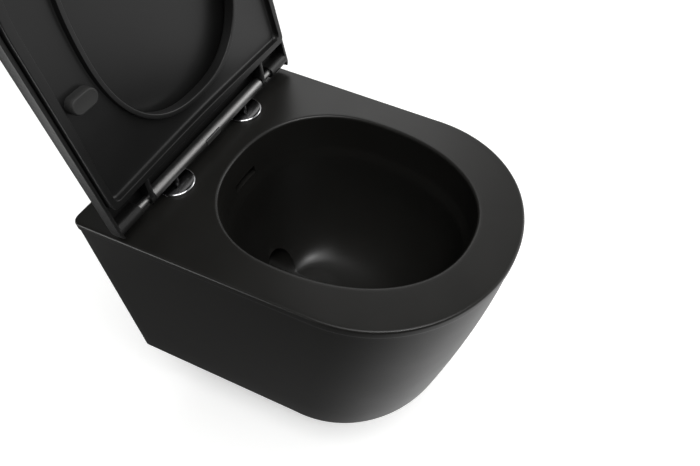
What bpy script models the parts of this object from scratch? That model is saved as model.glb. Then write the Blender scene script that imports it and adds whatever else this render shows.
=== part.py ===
"""Wall-hung toilet: concealed-fixing pan, lift-off soft-close seat and wrap-over cover.

Metres, +Z up. The wall plane is y = 0 and the pan points along -Y. The origin lies on
the wall plane, midway between the two wall fixing holes. The seat and cover are drawn
closed, about their hinge axis, and stand raised at rest.
"""
import math

import bmesh
import bpy
from mathutils import Matrix, Vector

# ---------------------------------------------------------------- driving dimensions
GAP = 0.0003                  # between faces that touch on the real object
ROUND_STEPS = 24              # sides of a small turned piece
PIPE_STEPS = 36               # sides of a pipe, and of all that fits it
CURVE_STEPS = 32              # points along the front curve of an outline
CORNER_STEPS = 4              # sides of a rounded upright corner
CURVE_POWER = 2.05            # 2 is an ellipse, more is squarer

# Pan outside
PAN_WIDTH = 0.374             # at the wall
PAN_NARROWING = 0.011         # each side, from the wall to the start of the front curve
WALL_CORNER = 0.009           # rounding of the upright corners at the wall
PAN_LENGTH = 0.505            # wall to front, at the rim
PAN_HEIGHT = 0.305
DECK_Z = 0.080                # deck above the line of the wall fixings
FRONT_DEPTH = 0.175           # length of the curved front, behind the nose
FRONT_LEAN = 0.064            # how far the foot stands back from the nose
LEAN_POWER = 1.3              # over 1 makes the front swell outwards
RIM_BEAD = 0.013              # height of the bead round the rim
BEAD_STEP = 0.0015            # how far the skirt stands in from the bead
EDGE_ROUND = 0.004
FOOT_ROUND = 0.0055
SKIRT_WALL = 0.010
DECK_WALL = 0.014
FLOOR_WALL = 0.012

# Bowl
RIM_SIDE = 0.044              # rim width beside the bowl, where the sides are narrowest
RIM_FRONT = 0.055             # rim width in front of the bowl
REAR_DECK = 0.123             # wall to bowl opening
BOWL_WIDEST = 0.259           # wall to the widest place of the opening
BOWL_POWER = 2.2
BOWL_DEPTH = 0.250
BOWL_WALL = 0.010
BOWL_STEPS = 40
BOWL_LEVELS = (0.20, 0.40, 0.59, 0.76, 0.90, 0.98)
BOWL_FULLNESS = 2.2           # over 2 makes the funnel rounder
LEDGE_DEPTH = 0.054           # deck to the flushing ledge
LEDGE_WIDTH = 0.006
LEDGE_FALL = 0.020            # height of the ledge's slope
LEDGE_TAPER = 0.985           # share of the opening left at the ledge
LIP_ROUND = 0.004
SUMP_Y = 0.215                # wall to the middle of the sump
SUMP_HALF_WIDTH = 0.036
SUMP_FRONT = 0.047
SUMP_REAR = 0.037

# Trap and outlet
OUTLET_DROP = 0.100           # fixings down to the outlet
TRAP_BORE = 0.025
TRAP_WALL = 0.008
WEIR_RISE = 0.038             # outlet centre up to the trap's crest
HORN_RADIUS = 0.051
HORN_WALL = 0.008
HORN_SETBACK = 0.020          # wall to the end of the horn
HORN_LENGTH = 0.050

# Inlet
INLET_RISE = 0.035            # fixings up to the inlet
INLET_BORE = 0.0275
INLET_WALL = 0.0085
INLET_DEPTH = 0.098
JET_WIDTH = 0.046
JET_HEIGHT = 0.012

# Wall fixings
FIXING_SPACING = 0.180
FIXING_BORE = 0.011
WEB_THICKNESS = 0.016
WEB_ABOVE = 0.058             # web above the fixing line
WEB_BELOW = 0.070             # web below the fixing line
LUG_HALF_WIDTH = 0.022
LUG_HALF_HEIGHT = 0.025
LUG_DEPTH = 0.040
STUD_RADIUS = 0.006
STUD_IN_WALL = 0.030
STUD_PROUD = 0.012            # stud past its nut
SLEEVE_WALL = 0.004
SLEEVE_FLANGE = 0.016
SLEEVE_FLANGE_THICKNESS = 0.003
FIXING_WASHER_RADIUS = 0.014
FIXING_WASHER_THICKNESS = 0.0025
FIXING_NUT_RADIUS = 0.0107
FIXING_NUT_HEIGHT = 0.010

# Pipes in the wall
PIPE_IN_WALL = 0.030
FLUSH_PIPE_RADIUS = 0.0225
FLUSH_PIPE_REACH = 0.040
FLUSH_PIPE_WALL = 0.0020
INLET_SEAL_LENGTH = 0.034
WASTE_PIPE_RADIUS = 0.045
WASTE_PIPE_WALL = 0.0035
WASTE_SOCKET_OVERLAP = 0.018  # socket over the horn
WASTE_SEAL_THICKNESS = 0.0026
WASTE_WAY_CLEARANCE = 0.002   # waste socket to the web round it
SEAL_RIB = 0.0008

# Hinge
HINGE_SETBACK = 0.079         # wall to the hinge axis
HINGE_RISE = 0.0200           # deck to the hinge axis
OPEN_ANGLE = math.radians(97.3)
HINGE_SPACING = 0.155         # between the two seat bolts
POST_OFFSET = 0.0             # bolt to post; an eccentric post stands forward of its bolt
BAR_RADIUS = 0.0082
BAR_BORE = 0.0064
BAR_HALF_LENGTH = 0.1190
ROSETTE_RADIUS = 0.025
ROSETTE_HEIGHT = 0.0042
ROSETTE_SKIN = 0.0011
POST_NECK_RADIUS = 0.0042
POST_PIN_RADIUS = 0.0030
POST_PIN_ABOVE_AXIS = 0.0015
POST_BASE_WALL = 0.0022       # rosette edge to the post's base
BOLT_RADIUS = 0.0040
BOLT_HOLE = 0.0070
BOLT_BELOW_NUT = 0.008
CONE_WASHER_RADIUS = 0.013
CONE_WASHER_HEIGHT = 0.008
WING_NUT_RADIUS = 0.0085
WING_NUT_HEIGHT = 0.012
WING_SPAN = 0.017
WING_THICKNESS = 0.003

# Shafts, dampers and release
SHAFT_RADIUS = 0.0050
SHAFT_TAIL_RADIUS = 0.0025
SHAFT_TAIL_LENGTH = 0.018
SHAFT_CLEARANCE = 0.0003
SHAFT_IN_COVER = 0.022
DAMPER_LENGTH = 0.029
LUG_THICKNESS = 0.007
LUG_RADIUS = 0.0088
BUTTON_LENGTH = 0.030
BUTTON_HEIGHT = 0.0080
BUTTON_PROUD = 0.0010
BUTTON_TRAVEL = 0.0025
BUTTON_CLEARANCE = 0.0003
TONGUE_HALF_WIDTH = 0.0025
SPRING_RADIUS = 0.0016
SPRING_WIRE = 0.0003
SPRING_TURNS = 3
LATCH_RADIUS = 0.0020
LATCH_COLLAR_RADIUS = 0.0050
LATCH_COLLAR_LENGTH = 0.006

# Seat ring, drawn closed
SEAT_CLEARANCE = 0.005        # deck to the underside of the ring
SEAT_THICKNESS = 0.016
SEAT_REAR = 0.0333            # hinge axis to the ring's rear edge
SEAT_HOLE_HALF_WIDTH = 0.1175
SEAT_HOLE_REAR = 0.0715       # hinge axis to the hole
SEAT_HOLE_FRONT = 0.062       # ring width at the front
HOLE_POWER = 2.4
SEAT_STEPS = 64
SEAT_RECESS = 0.008
RECESS_FLARE = 0.001          # how far the recess closes in towards its floor
SEAT_BORDER = 0.0110
SEAT_LIP = 0.006
SEAT_ROUND = 0.005

# Cover, drawn closed
COVER_OVERLAP = 0.0105        # how far it stands outside the pan where the front curve starts
COVER_NOSE = 0.004            # and in front of it
COVER_WALL = 0.0042
COVER_TO_SEAT = 0.0018
COVER_CLEARANCE = 0.012       # deck to the free edge
COVER_OVER_BAR = 0.002
COVER_OVER_EAR = 0.0005       # hinge ears to the cover's inside
COVER_REAR = 0.012            # hinge axis to the rear edge
COVER_ROUND = 0.010
COVER_SWEEP_CLEARANCE = 0.0025
KNUCKLE_START = 0.018         # seat lug to the cover's knuckle

# Buffers
SEAT_BUFFER_LENGTH = 0.036      # or as much as the recess takes
BUFFER_MARGIN = 0.0020        # buffer to the sides of the recess
SEAT_BUFFER_WIDTH = 0.020
SIDE_BUFFER_FROM_AXIS = 0.164
FRONT_BUFFER_ANGLE = 60.0     # from the hole's middle, below the X axis
COVER_BUFFER_RADIUS = 0.007
COVER_BUFFER_HALF_SPACING = 0.060

# ---------------------------------------------------------------- worked-out places
HALF_PAN = PAN_WIDTH / 2
HALF_FRONT = HALF_PAN - PAN_NARROWING
PAN_BOTTOM_Z = DECK_Z - PAN_HEIGHT
OUTLET_Z = -OUTLET_DROP
INLET_Z = INLET_RISE
AXIS_Y = -HINGE_SETBACK
AXIS_Z = DECK_Z + HINGE_RISE
AXIS = Vector((0, AXIS_Y, AXIS_Z))
BOLT_Y = AXIS_Y + POST_OFFSET
POST_X = HINGE_SPACING / 2
FIXING_X = FIXING_SPACING / 2
LUG_X0 = BAR_HALF_LENGTH + 0.001
LUG_X1 = LUG_X0 + LUG_THICKNESS
KNUCKLE_X0 = LUG_X1 + KNUCKLE_START
COVER_HALF = HALF_FRONT + COVER_OVERLAP
SEAT_HALF = COVER_HALF - COVER_WALL - COVER_TO_SEAT
SEAT_FRONT_Y = -(PAN_LENGTH + COVER_NOSE - COVER_WALL - COVER_TO_SEAT)
SEAT_BOTTOM_Z = DECK_Z + SEAT_CLEARANCE
SEAT_TOP_Z = SEAT_BOTTOM_Z + SEAT_THICKNESS
COVER_INNER_Z = AXIS_Z + max(BAR_RADIUS + COVER_OVER_BAR, LUG_RADIUS + COVER_OVER_EAR)
COVER_TOP_Z = COVER_INNER_Z + COVER_WALL
WASTE_SOCKET_BORE = HORN_RADIUS + WASTE_SEAL_THICKNESS
WASTE_SOCKET_RADIUS = WASTE_SOCKET_BORE + WASTE_PIPE_WALL
BAR_MIDDLE_TO_POST = POST_X - POST_PIN_RADIUS - GAP


# ---------------------------------------------------------------- scene and helpers
def clear_scene():
    for item in list(bpy.data.objects):
        bpy.data.objects.remove(item, do_unlink=True)


def new_collection(name):
    group = bpy.data.collections.new(name)
    bpy.context.scene.collection.children.link(group)
    return group


clear_scene()
PARTS = new_collection("wall_hung_toilet")
CUTTERS = new_collection("cutters")


def material(name, colour, roughness, metallic=0.0):
    finish = bpy.data.materials.new(name)
    finish.use_nodes = True
    shader = finish.node_tree.nodes["Principled BSDF"]
    shader.inputs["Base Color"].default_value = (*colour, 1.0)
    shader.inputs["Roughness"].default_value = roughness
    shader.inputs["Metallic"].default_value = metallic
    return finish


FINISHES = {
    "black_glaze": ((0.030, 0.030, 0.028), 0.42, 0.0),
    "black_seat": ((0.022, 0.022, 0.022), 0.45, 0.0),
    "satin_steel": ((0.32, 0.32, 0.33), 0.32, 1.0),
    "bright_chrome": ((0.75, 0.75, 0.76), 0.08, 1.0),
    "dark_rubber": ((0.035, 0.035, 0.035), 0.75, 0.0),
    "grey_plastic": ((0.30, 0.31, 0.32), 0.5, 0.0),
    "zinc_steel": ((0.55, 0.55, 0.52), 0.38, 1.0),
}


def place(item, group, finish=None):
    group.objects.link(item)
    if finish:
        item.data.materials.clear()
        item.data.materials.append(material(item.name, *FINISHES[finish]))
    else:
        item.hide_render = True
        item.display_type = "WIRE"
    return item


def from_bmesh(name, shape, group, finish=None, location=(0, 0, 0)):
    mesh = bpy.data.meshes.new(name)
    shape.to_mesh(mesh)
    shape.free()
    item = bpy.data.objects.new(name, mesh)
    item.location = location
    return place(item, group, finish)


def boolean(target, tool, operation="DIFFERENCE", folded=False):
    """folded is for a tool whose surface folds into itself, such as a tight elbow."""
    step = target.modifiers.new(tool.name, "BOOLEAN")
    step.operation = operation
    step.object = tool
    step.solver = "EXACT"
    step.use_self = folded


def cut(target, *tools, folded=False):
    for tool in tools:
        boolean(target, tool, folded=folded)


def join(target, *tools):
    for tool in tools:
        boolean(target, tool, "UNION")


def shade_round(item, angle=35.0):
    item.data.shade_smooth()
    item.data.set_sharp_from_angle(angle=math.radians(angle))


def loft(name, rings, group=CUTTERS, finish=None, origin=(0, 0, 0)):
    """A closed body through level outlines, lowest first, each counter-clockwise."""
    shape = bmesh.new()
    start = Vector(origin)
    rows = [[shape.verts.new(point - start) for point in ring] for ring in rings]
    count = len(rows[0])
    for low, high in zip(rows, rows[1:]):
        for i in range(count):
            j = (i + 1) % count
            shape.faces.new((low[i], low[j], high[j], high[i]))
    shape.faces.new(list(reversed(rows[0])))
    shape.faces.new(rows[-1])
    return from_bmesh(name, shape, group, finish, origin)


def box(name, low, high, group=CUTTERS, finish=None):
    shape = bmesh.new()
    size = Vector(high) - Vector(low)
    middle = (Vector(high) + Vector(low)) / 2
    spot = Matrix.Translation(middle) @ Matrix.Diagonal((*size, 1))
    bmesh.ops.create_cube(shape, size=1.0, matrix=spot)
    return from_bmesh(name, shape, group, finish)


def rod(name, radius, start, end, group=CUTTERS, finish=None, sides=ROUND_STEPS):
    """A plain cylinder between two points."""
    shape = bmesh.new()
    start, end = Vector(start), Vector(end)
    turn = (end - start).to_track_quat("Z", "Y").to_matrix().to_4x4()
    spot = Matrix.Translation((start + end) / 2) @ turn
    bmesh.ops.create_cone(shape, cap_ends=True, segments=sides, radius1=radius, radius2=radius,
                          depth=(end - start).length, matrix=spot)
    return from_bmesh(name, shape, group, finish)


def turned(name, profile, location, finish, direction="Z", closed=False, steps=ROUND_STEPS,
           group=PARTS):
    """A turned piece. The profile gives (radius, height) down its outer side."""
    mesh = bpy.data.meshes.new(name)
    count = len(profile)
    edges = [(i, (i + 1) % count) for i in range(count if closed else count - 1)]
    mesh.from_pydata([(radius, 0, height) for radius, height in profile], edges, [])
    item = bpy.data.objects.new(name, mesh)
    item.location = location
    item.rotation_euler = {"Z": (0, 0, 0), "X": (0, math.pi / 2, 0),
                           "-X": (0, -math.pi / 2, 0), "-Y": (math.pi / 2, 0, 0),
                           "Y": (-math.pi / 2, 0, 0)}[direction]
    screw = item.modifiers.new("turn", "SCREW")
    screw.axis = "Z"
    screw.angle = math.tau
    screw.steps = steps
    screw.render_steps = steps
    screw.use_merge_vertices = True
    screw.merge_threshold = 0.00001
    screw.use_smooth_shade = False
    return place(item, group, finish)


def ring_profile(outer, inner, low, high):
    return [(outer, high), (outer, low), (inner, low), (inner, high)]


def plate(name, outline, low_x, high_x, group=CUTTERS, finish=None, location=(0, 0, 0)):
    """A flat outline of (y, z) points, given thickness from low_x to high_x."""
    curve = bpy.data.curves.new(name, "CURVE")
    curve.dimensions = "2D"
    curve.fill_mode = "BOTH"
    curve.extrude = (high_x - low_x) / 2
    line = curve.splines.new("POLY")
    line.points.add(len(outline) - 1)
    for point, (y, z) in zip(line.points, outline):
        point.co = (y, z, 0, 1)
    line.use_cyclic_u = True
    guide = bpy.data.objects.new(name + "_outline", curve)
    CUTTERS.objects.link(guide)
    bpy.context.view_layer.update()
    graph = bpy.context.evaluated_depsgraph_get()
    mesh = bpy.data.meshes.new_from_object(guide.evaluated_get(graph))
    bpy.data.objects.remove(guide, do_unlink=True)
    # the curve's own x, y, z become the piece's y, z, x
    middle = (low_x + high_x) / 2
    mesh.transform(Matrix(((0, 0, 1, middle), (1, 0, 0, 0), (0, 1, 0, 0), (0, 0, 0, 1))))
    shape = bmesh.new()
    shape.from_mesh(mesh)
    bpy.data.meshes.remove(mesh)
    bmesh.ops.remove_doubles(shape, verts=shape.verts, dist=0.00001)
    return from_bmesh(name, shape, group, finish, location)


def arc(centre, radius, start, end, steps):
    """Points of an arc in a plane, angles in degrees from the first axis."""
    angles = [math.radians(start + (end - start) * i / steps) for i in range(steps + 1)]
    return [(centre[0] + radius * math.cos(a), centre[1] + radius * math.sin(a)) for a in angles]


def power(value, exponent):
    return math.copysign(abs(value) ** exponent, value)


def d_outline(half_width, rear_y, front_y, depth, z, widening=0.0, corner=0.0):
    """Straight sides from the rear, then a curved front; counter-clockwise from above."""
    turn_y = front_y + depth
    rear_half = half_width + widening
    left = [Vector((-rear_half, rear_y, z)), Vector((-half_width - widening / 2, (rear_y + turn_y) / 2, z))]
    if corner:
        bend = arc((-rear_half + corner, rear_y - corner), corner, 90, 180, CORNER_STEPS)
        left[:1] = [Vector((x, y, z)) for x, y in bend]
    right = [Vector((-point.x, point.y, z)) for point in reversed(left)]
    front = []
    for i in range(CURVE_STEPS + 1):
        angle = math.pi * i / CURVE_STEPS
        x = -half_width * power(math.cos(angle), 2 / CURVE_POWER)
        y = turn_y - depth * power(math.sin(angle), 2 / CURVE_POWER)
        front.append(Vector((x, y, z)))
    return left + front + right


def egg(half_width, middle_y, rear, front, z, steps=BOWL_STEPS, squareness=BOWL_POWER):
    """An egg-shaped outline, counter-clockwise from above."""
    points = []
    for i in range(steps):
        angle = math.tau * i / steps
        reach = rear if math.sin(angle) > 0 else front
        x = half_width * power(math.cos(angle), 2 / squareness)
        y = middle_y + reach * power(math.sin(angle), 2 / squareness)
        points.append(Vector((x, y, z)))
    return points


# ---------------------------------------------------------------- pan
def pan_ring(below_deck, inset, rear_y=0.0):
    share = min(below_deck / PAN_HEIGHT, 1.0)
    lean = FRONT_LEAN * max(share, 0.0) ** LEAN_POWER
    front_y = -(PAN_LENGTH - lean - inset)
    depth = FRONT_DEPTH - 0.2 * lean - inset * 0.5
    half = HALF_FRONT - inset
    corner = min(WALL_CORNER, SKIRT_WALL * 0.9) if rear_y == 0.0 else 0.0
    return d_outline(half, rear_y, front_y, depth, DECK_Z - below_deck, PAN_NARROWING, corner)


def bowl_levels():
    """Depth below the deck, share of the opening's size, and extra width."""
    levels = [(-0.010, 1.0, LIP_ROUND), (0.0, 1.0, LIP_ROUND), (LIP_ROUND * 0.4, 1.0, LIP_ROUND * 0.35)]
    levels += [(LIP_ROUND * 1.4, 1.0, 0.0), (LEDGE_DEPTH, LEDGE_TAPER, 0.0)]
    start = LEDGE_DEPTH + LEDGE_FALL
    below = BOWL_DEPTH - start
    ledge = LEDGE_TAPER - LEDGE_WIDTH / (HALF_FRONT - RIM_SIDE)
    levels.append((start, ledge, 0.0))
    for share in BOWL_LEVELS:
        levels.append((start + below * share, ledge * math.sqrt(1 - share ** BOWL_FULLNESS), 0.0))
    levels.append((BOWL_DEPTH, 0.0, 0.0))
    return levels


def bowl_ring(level, extra):
    below, share, wider = level
    grow = wider + extra
    open_half = HALF_FRONT - RIM_SIDE
    middle = -(SUMP_Y + (BOWL_WIDEST - SUMP_Y) * share)
    rear = SUMP_REAR + (BOWL_WIDEST - REAR_DECK - SUMP_REAR) * share
    front = SUMP_FRONT + (PAN_LENGTH - RIM_FRONT - BOWL_WIDEST - SUMP_FRONT) * share
    half = SUMP_HALF_WIDTH + (open_half - SUMP_HALF_WIDTH) * share
    return egg(half + grow, middle, rear + grow, front + grow, DECK_Z - below)


def trap_tube(name, radius, first_share):
    """The trap's tube: out of the sump, over the weir and down into the horn."""
    crest_z = OUTLET_Z + WEIR_RISE
    mouth_z = DECK_Z - BOWL_DEPTH + TRAP_BORE * 0.9
    horn_y = -(HORN_SETBACK + HORN_LENGTH)
    leg_y = horn_y - HORN_WALL * 1.2 - TRAP_BORE
    start_y = -(SUMP_Y - SUMP_REAR * first_share)
    route = [(start_y, mouth_z), ((start_y + leg_y) / 2, mouth_z), (leg_y - 0.006, mouth_z - 0.004),
             (leg_y, (mouth_z + crest_z) / 2), (leg_y, crest_z + 0.004), (horn_y - 0.004, crest_z),
             (horn_y + 0.012, crest_z - 0.005)]
    curve = bpy.data.curves.new(name, "CURVE")
    curve.dimensions = "3D"
    curve.bevel_depth = radius
    curve.bevel_resolution = 4
    curve.use_fill_caps = True
    line = curve.splines.new("NURBS")
    line.points.add(len(route) - 1)
    for point, (y, z) in zip(line.points, route):
        point.co = (0, y, z, 1)
    line.use_endpoint_u = True
    line.order_u = 4
    line.resolution_u = 4
    guide = bpy.data.objects.new(name + "_route", curve)
    CUTTERS.objects.link(guide)
    bpy.context.view_layer.update()
    graph = bpy.context.evaluated_depsgraph_get()
    mesh = bpy.data.meshes.new_from_object(guide.evaluated_get(graph))
    bpy.data.objects.remove(guide, do_unlink=True)
    shape = bmesh.new()
    shape.from_mesh(mesh)
    bpy.data.meshes.remove(mesh)
    bmesh.ops.remove_doubles(shape, verts=shape.verts, dist=0.00001)
    bmesh.ops.recalc_face_normals(shape, faces=shape.faces)
    return from_bmesh(name, shape, CUTTERS)


def pan_hollow():
    """The space behind the skirt: the bowl, trap, inlet and wall lugs are kept out of it."""
    levels = [PAN_HEIGHT - FLOOR_WALL, PAN_HEIGHT * 0.75, PAN_HEIGHT * 0.5, PAN_HEIGHT * 0.25, DECK_WALL]
    rings = [pan_ring(below, SKIRT_WALL + BEAD_STEP, 0.02) for below in levels]
    hollow = loft("hollow", rings)
    levels = [(-0.002, 1.0, 0.0)] + bowl_levels()[3:]
    rings = [bowl_ring(level, BOWL_WALL) for level in levels]
    foot = bowl_ring((BOWL_DEPTH + BOWL_WALL, 0.0, 0.0), BOWL_WALL * 0.4)
    kept = [loft("bowl_outside", list(reversed(rings + [foot])))]
    kept.append(rod("horn_outside", HORN_RADIUS, (0, -HORN_SETBACK - HORN_LENGTH - HORN_WALL, OUTLET_Z),
                    (0, -HORN_SETBACK, OUTLET_Z), sides=PIPE_STEPS))
    kept.append(rod("inlet_outside", INLET_BORE + INLET_WALL, (0, -REAR_DECK, INLET_Z), (0, 0.0, INLET_Z),
                    sides=PIPE_STEPS))
    web = box("web", (-HALF_PAN, -WEB_THICKNESS, -WEB_BELOW), (HALF_PAN, 0.0, WEB_ABOVE))
    cut(web, rod("waste_way", WASTE_SOCKET_RADIUS + WASTE_WAY_CLEARANCE, (0, -0.05, OUTLET_Z),
                 (0, 0.03, OUTLET_Z), sides=PIPE_STEPS))
    kept.append(web)
    for side in (-1, 1):
        low = (side * FIXING_X - LUG_HALF_WIDTH, -LUG_DEPTH, -LUG_HALF_HEIGHT)
        high = (side * FIXING_X + LUG_HALF_WIDTH, -WEB_THICKNESS / 2, LUG_HALF_HEIGHT)
        kept.append(box("wall_lug", low, high))
    cut(hollow, *kept)
    cut(hollow, trap_tube("trap_outside", TRAP_BORE + TRAP_WALL, 0.9), folded=True)
    return hollow


def make_pan():
    foot = PAN_HEIGHT
    levels = [(foot, FOOT_ROUND), (foot - FOOT_ROUND * 0.35, FOOT_ROUND * 0.35),
              (foot - FOOT_ROUND, BEAD_STEP), (foot * 0.72, BEAD_STEP), (foot * 0.5, BEAD_STEP),
              (foot * 0.28, BEAD_STEP), (RIM_BEAD + 0.003, BEAD_STEP), (RIM_BEAD, 0.0),
              (EDGE_ROUND, 0.0), (EDGE_ROUND * 0.35, EDGE_ROUND * 0.3), (0.0, EDGE_ROUND)]
    pan = loft("pan_body", [pan_ring(*level) for level in levels], PARTS, "black_glaze")
    bowl = loft("bowl_inside", [bowl_ring(level, 0.0) for level in reversed(bowl_levels())])
    cut(pan, pan_hollow(), bowl)
    cut(pan, trap_tube("trap_bore", TRAP_BORE, 0.3), folded=True)
    cut(pan, rod("horn_bore", HORN_RADIUS - HORN_WALL, (0, -HORN_SETBACK - HORN_LENGTH, OUTLET_Z),
                 (0, 0.02, OUTLET_Z), sides=PIPE_STEPS))
    cut(pan, rod("inlet_bore", INLET_BORE, (0, -INLET_DEPTH, INLET_Z), (0, 0.02, INLET_Z), sides=PIPE_STEPS))
    cut(pan, box("jet", (-JET_WIDTH / 2, -REAR_DECK - 0.02, INLET_Z - JET_HEIGHT / 2),
                 (JET_WIDTH / 2, -INLET_DEPTH + 0.005, INLET_Z + JET_HEIGHT / 2)))
    for side in (-1, 1):
        x = side * FIXING_X
        cut(pan, rod("fixing_hole", FIXING_BORE, (x, -LUG_DEPTH - 0.01, 0), (x, 0.02, 0)))
        x = side * POST_X
        cut(pan, rod("seat_hole", BOLT_HOLE, (x, BOLT_Y, DECK_Z - DECK_WALL - 0.01),
                     (x, BOLT_Y, DECK_Z + 0.01)))
    shade_round(pan)


# ---------------------------------------------------------------- wall fixings and pipes
def make_wall_fixings(side, word):
    x = side * FIXING_X
    sleeve_radius = FIXING_BORE - GAP
    flange = LUG_DEPTH + GAP
    sleeve = [(SLEEVE_FLANGE, flange + SLEEVE_FLANGE_THICKNESS), (SLEEVE_FLANGE, flange),
              (sleeve_radius, flange), (sleeve_radius, 0.0005), (sleeve_radius - SLEEVE_WALL, 0.0005),
              (sleeve_radius - SLEEVE_WALL, flange + SLEEVE_FLANGE_THICKNESS)]
    turned(word + "_fixing_sleeve", sleeve, (x, 0, 0), "grey_plastic", "-Y", closed=True)
    washer_low = flange + SLEEVE_FLANGE_THICKNESS + GAP
    washer_high = washer_low + FIXING_WASHER_THICKNESS
    washer = ring_profile(FIXING_WASHER_RADIUS, STUD_RADIUS + GAP, washer_low, washer_high)
    turned(word + "_fixing_washer", washer, (x, 0, 0), "zinc_steel", "-Y", closed=True)
    nut_low = washer_high + GAP
    nut_high = nut_low + FIXING_NUT_HEIGHT
    nut = ring_profile(FIXING_NUT_RADIUS, STUD_RADIUS + GAP, nut_low, nut_high)
    turned(word + "_fixing_nut", nut, (x, 0, 0), "zinc_steel", "-Y", closed=True, steps=6)
    cut(bpy.data.objects[word + "_fixing_nut"],
        rod(word + "_nut_bore", STUD_RADIUS + GAP, (x, 0.0, 0), (x, -nut_high - 0.01, 0)))
    end = nut_high + STUD_PROUD
    stud = [(0, end), (STUD_RADIUS - 0.001, end), (STUD_RADIUS, end - 0.001),
            (STUD_RADIUS, 0.001 - STUD_IN_WALL), (STUD_RADIUS - 0.001, -STUD_IN_WALL), (0, -STUD_IN_WALL)]
    turned(word + "_fixing_stud", stud, (x, 0, 0), "zinc_steel", "-Y")


def ribbed(outer, inner, low, high, ribs, outside):
    """A seal's profile with small ribs on one face."""
    step = (high - low) / ribs
    ups = []
    for i in range(ribs):
        base = low + step * i
        ups += [(base + step * 0.25, 0.0), (base + step * 0.5, SEAL_RIB), (base + step * 0.75, 0.0)]
    if outside:
        skin = [(outer - SEAL_RIB + rise, z) for z, rise in reversed(ups)]
        return [(outer - SEAL_RIB, high)] + skin + [(outer - SEAL_RIB, low), (inner, low), (inner, high)]
    skin = [(inner + SEAL_RIB - rise, z) for z, rise in ups]
    return [(outer, high), (outer, low), (inner + SEAL_RIB, low)] + skin + [(inner + SEAL_RIB, high)]


def make_pipes():
    bore = FLUSH_PIPE_RADIUS - FLUSH_PIPE_WALL
    flush = ring_profile(FLUSH_PIPE_RADIUS, bore, -PIPE_IN_WALL, FLUSH_PIPE_REACH)
    turned("flush_connector", flush, (0, 0, INLET_Z), "grey_plastic", "-Y", closed=True)
    seal = ribbed(INLET_BORE - GAP, FLUSH_PIPE_RADIUS + GAP, 0.001, INLET_SEAL_LENGTH, 3, True)
    turned("inlet_seal", seal, (0, 0, INLET_Z), "dark_rubber", "-Y", closed=True)
    mouth = HORN_SETBACK + WASTE_SOCKET_OVERLAP
    neck = HORN_SETBACK - 0.006
    pipe_bore = WASTE_PIPE_RADIUS - WASTE_PIPE_WALL
    waste = [(WASTE_SOCKET_RADIUS, mouth), (WASTE_SOCKET_RADIUS, neck - 0.004),
             (WASTE_PIPE_RADIUS, neck - 0.014), (WASTE_PIPE_RADIUS, -PIPE_IN_WALL),
             (pipe_bore, -PIPE_IN_WALL), (pipe_bore, neck - 0.010), (WASTE_SOCKET_BORE, neck),
             (WASTE_SOCKET_BORE, mouth)]
    turned("waste_connector", waste, (0, 0, OUTLET_Z), "grey_plastic", "-Y", closed=True, steps=PIPE_STEPS)
    seal = ribbed(WASTE_SOCKET_BORE - GAP, HORN_RADIUS + GAP, HORN_SETBACK + 0.002, mouth - 0.001, 2, False)
    turned("waste_seal", seal, (0, 0, OUTLET_Z), "dark_rubber", "-Y", closed=True, steps=PIPE_STEPS)


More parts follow.
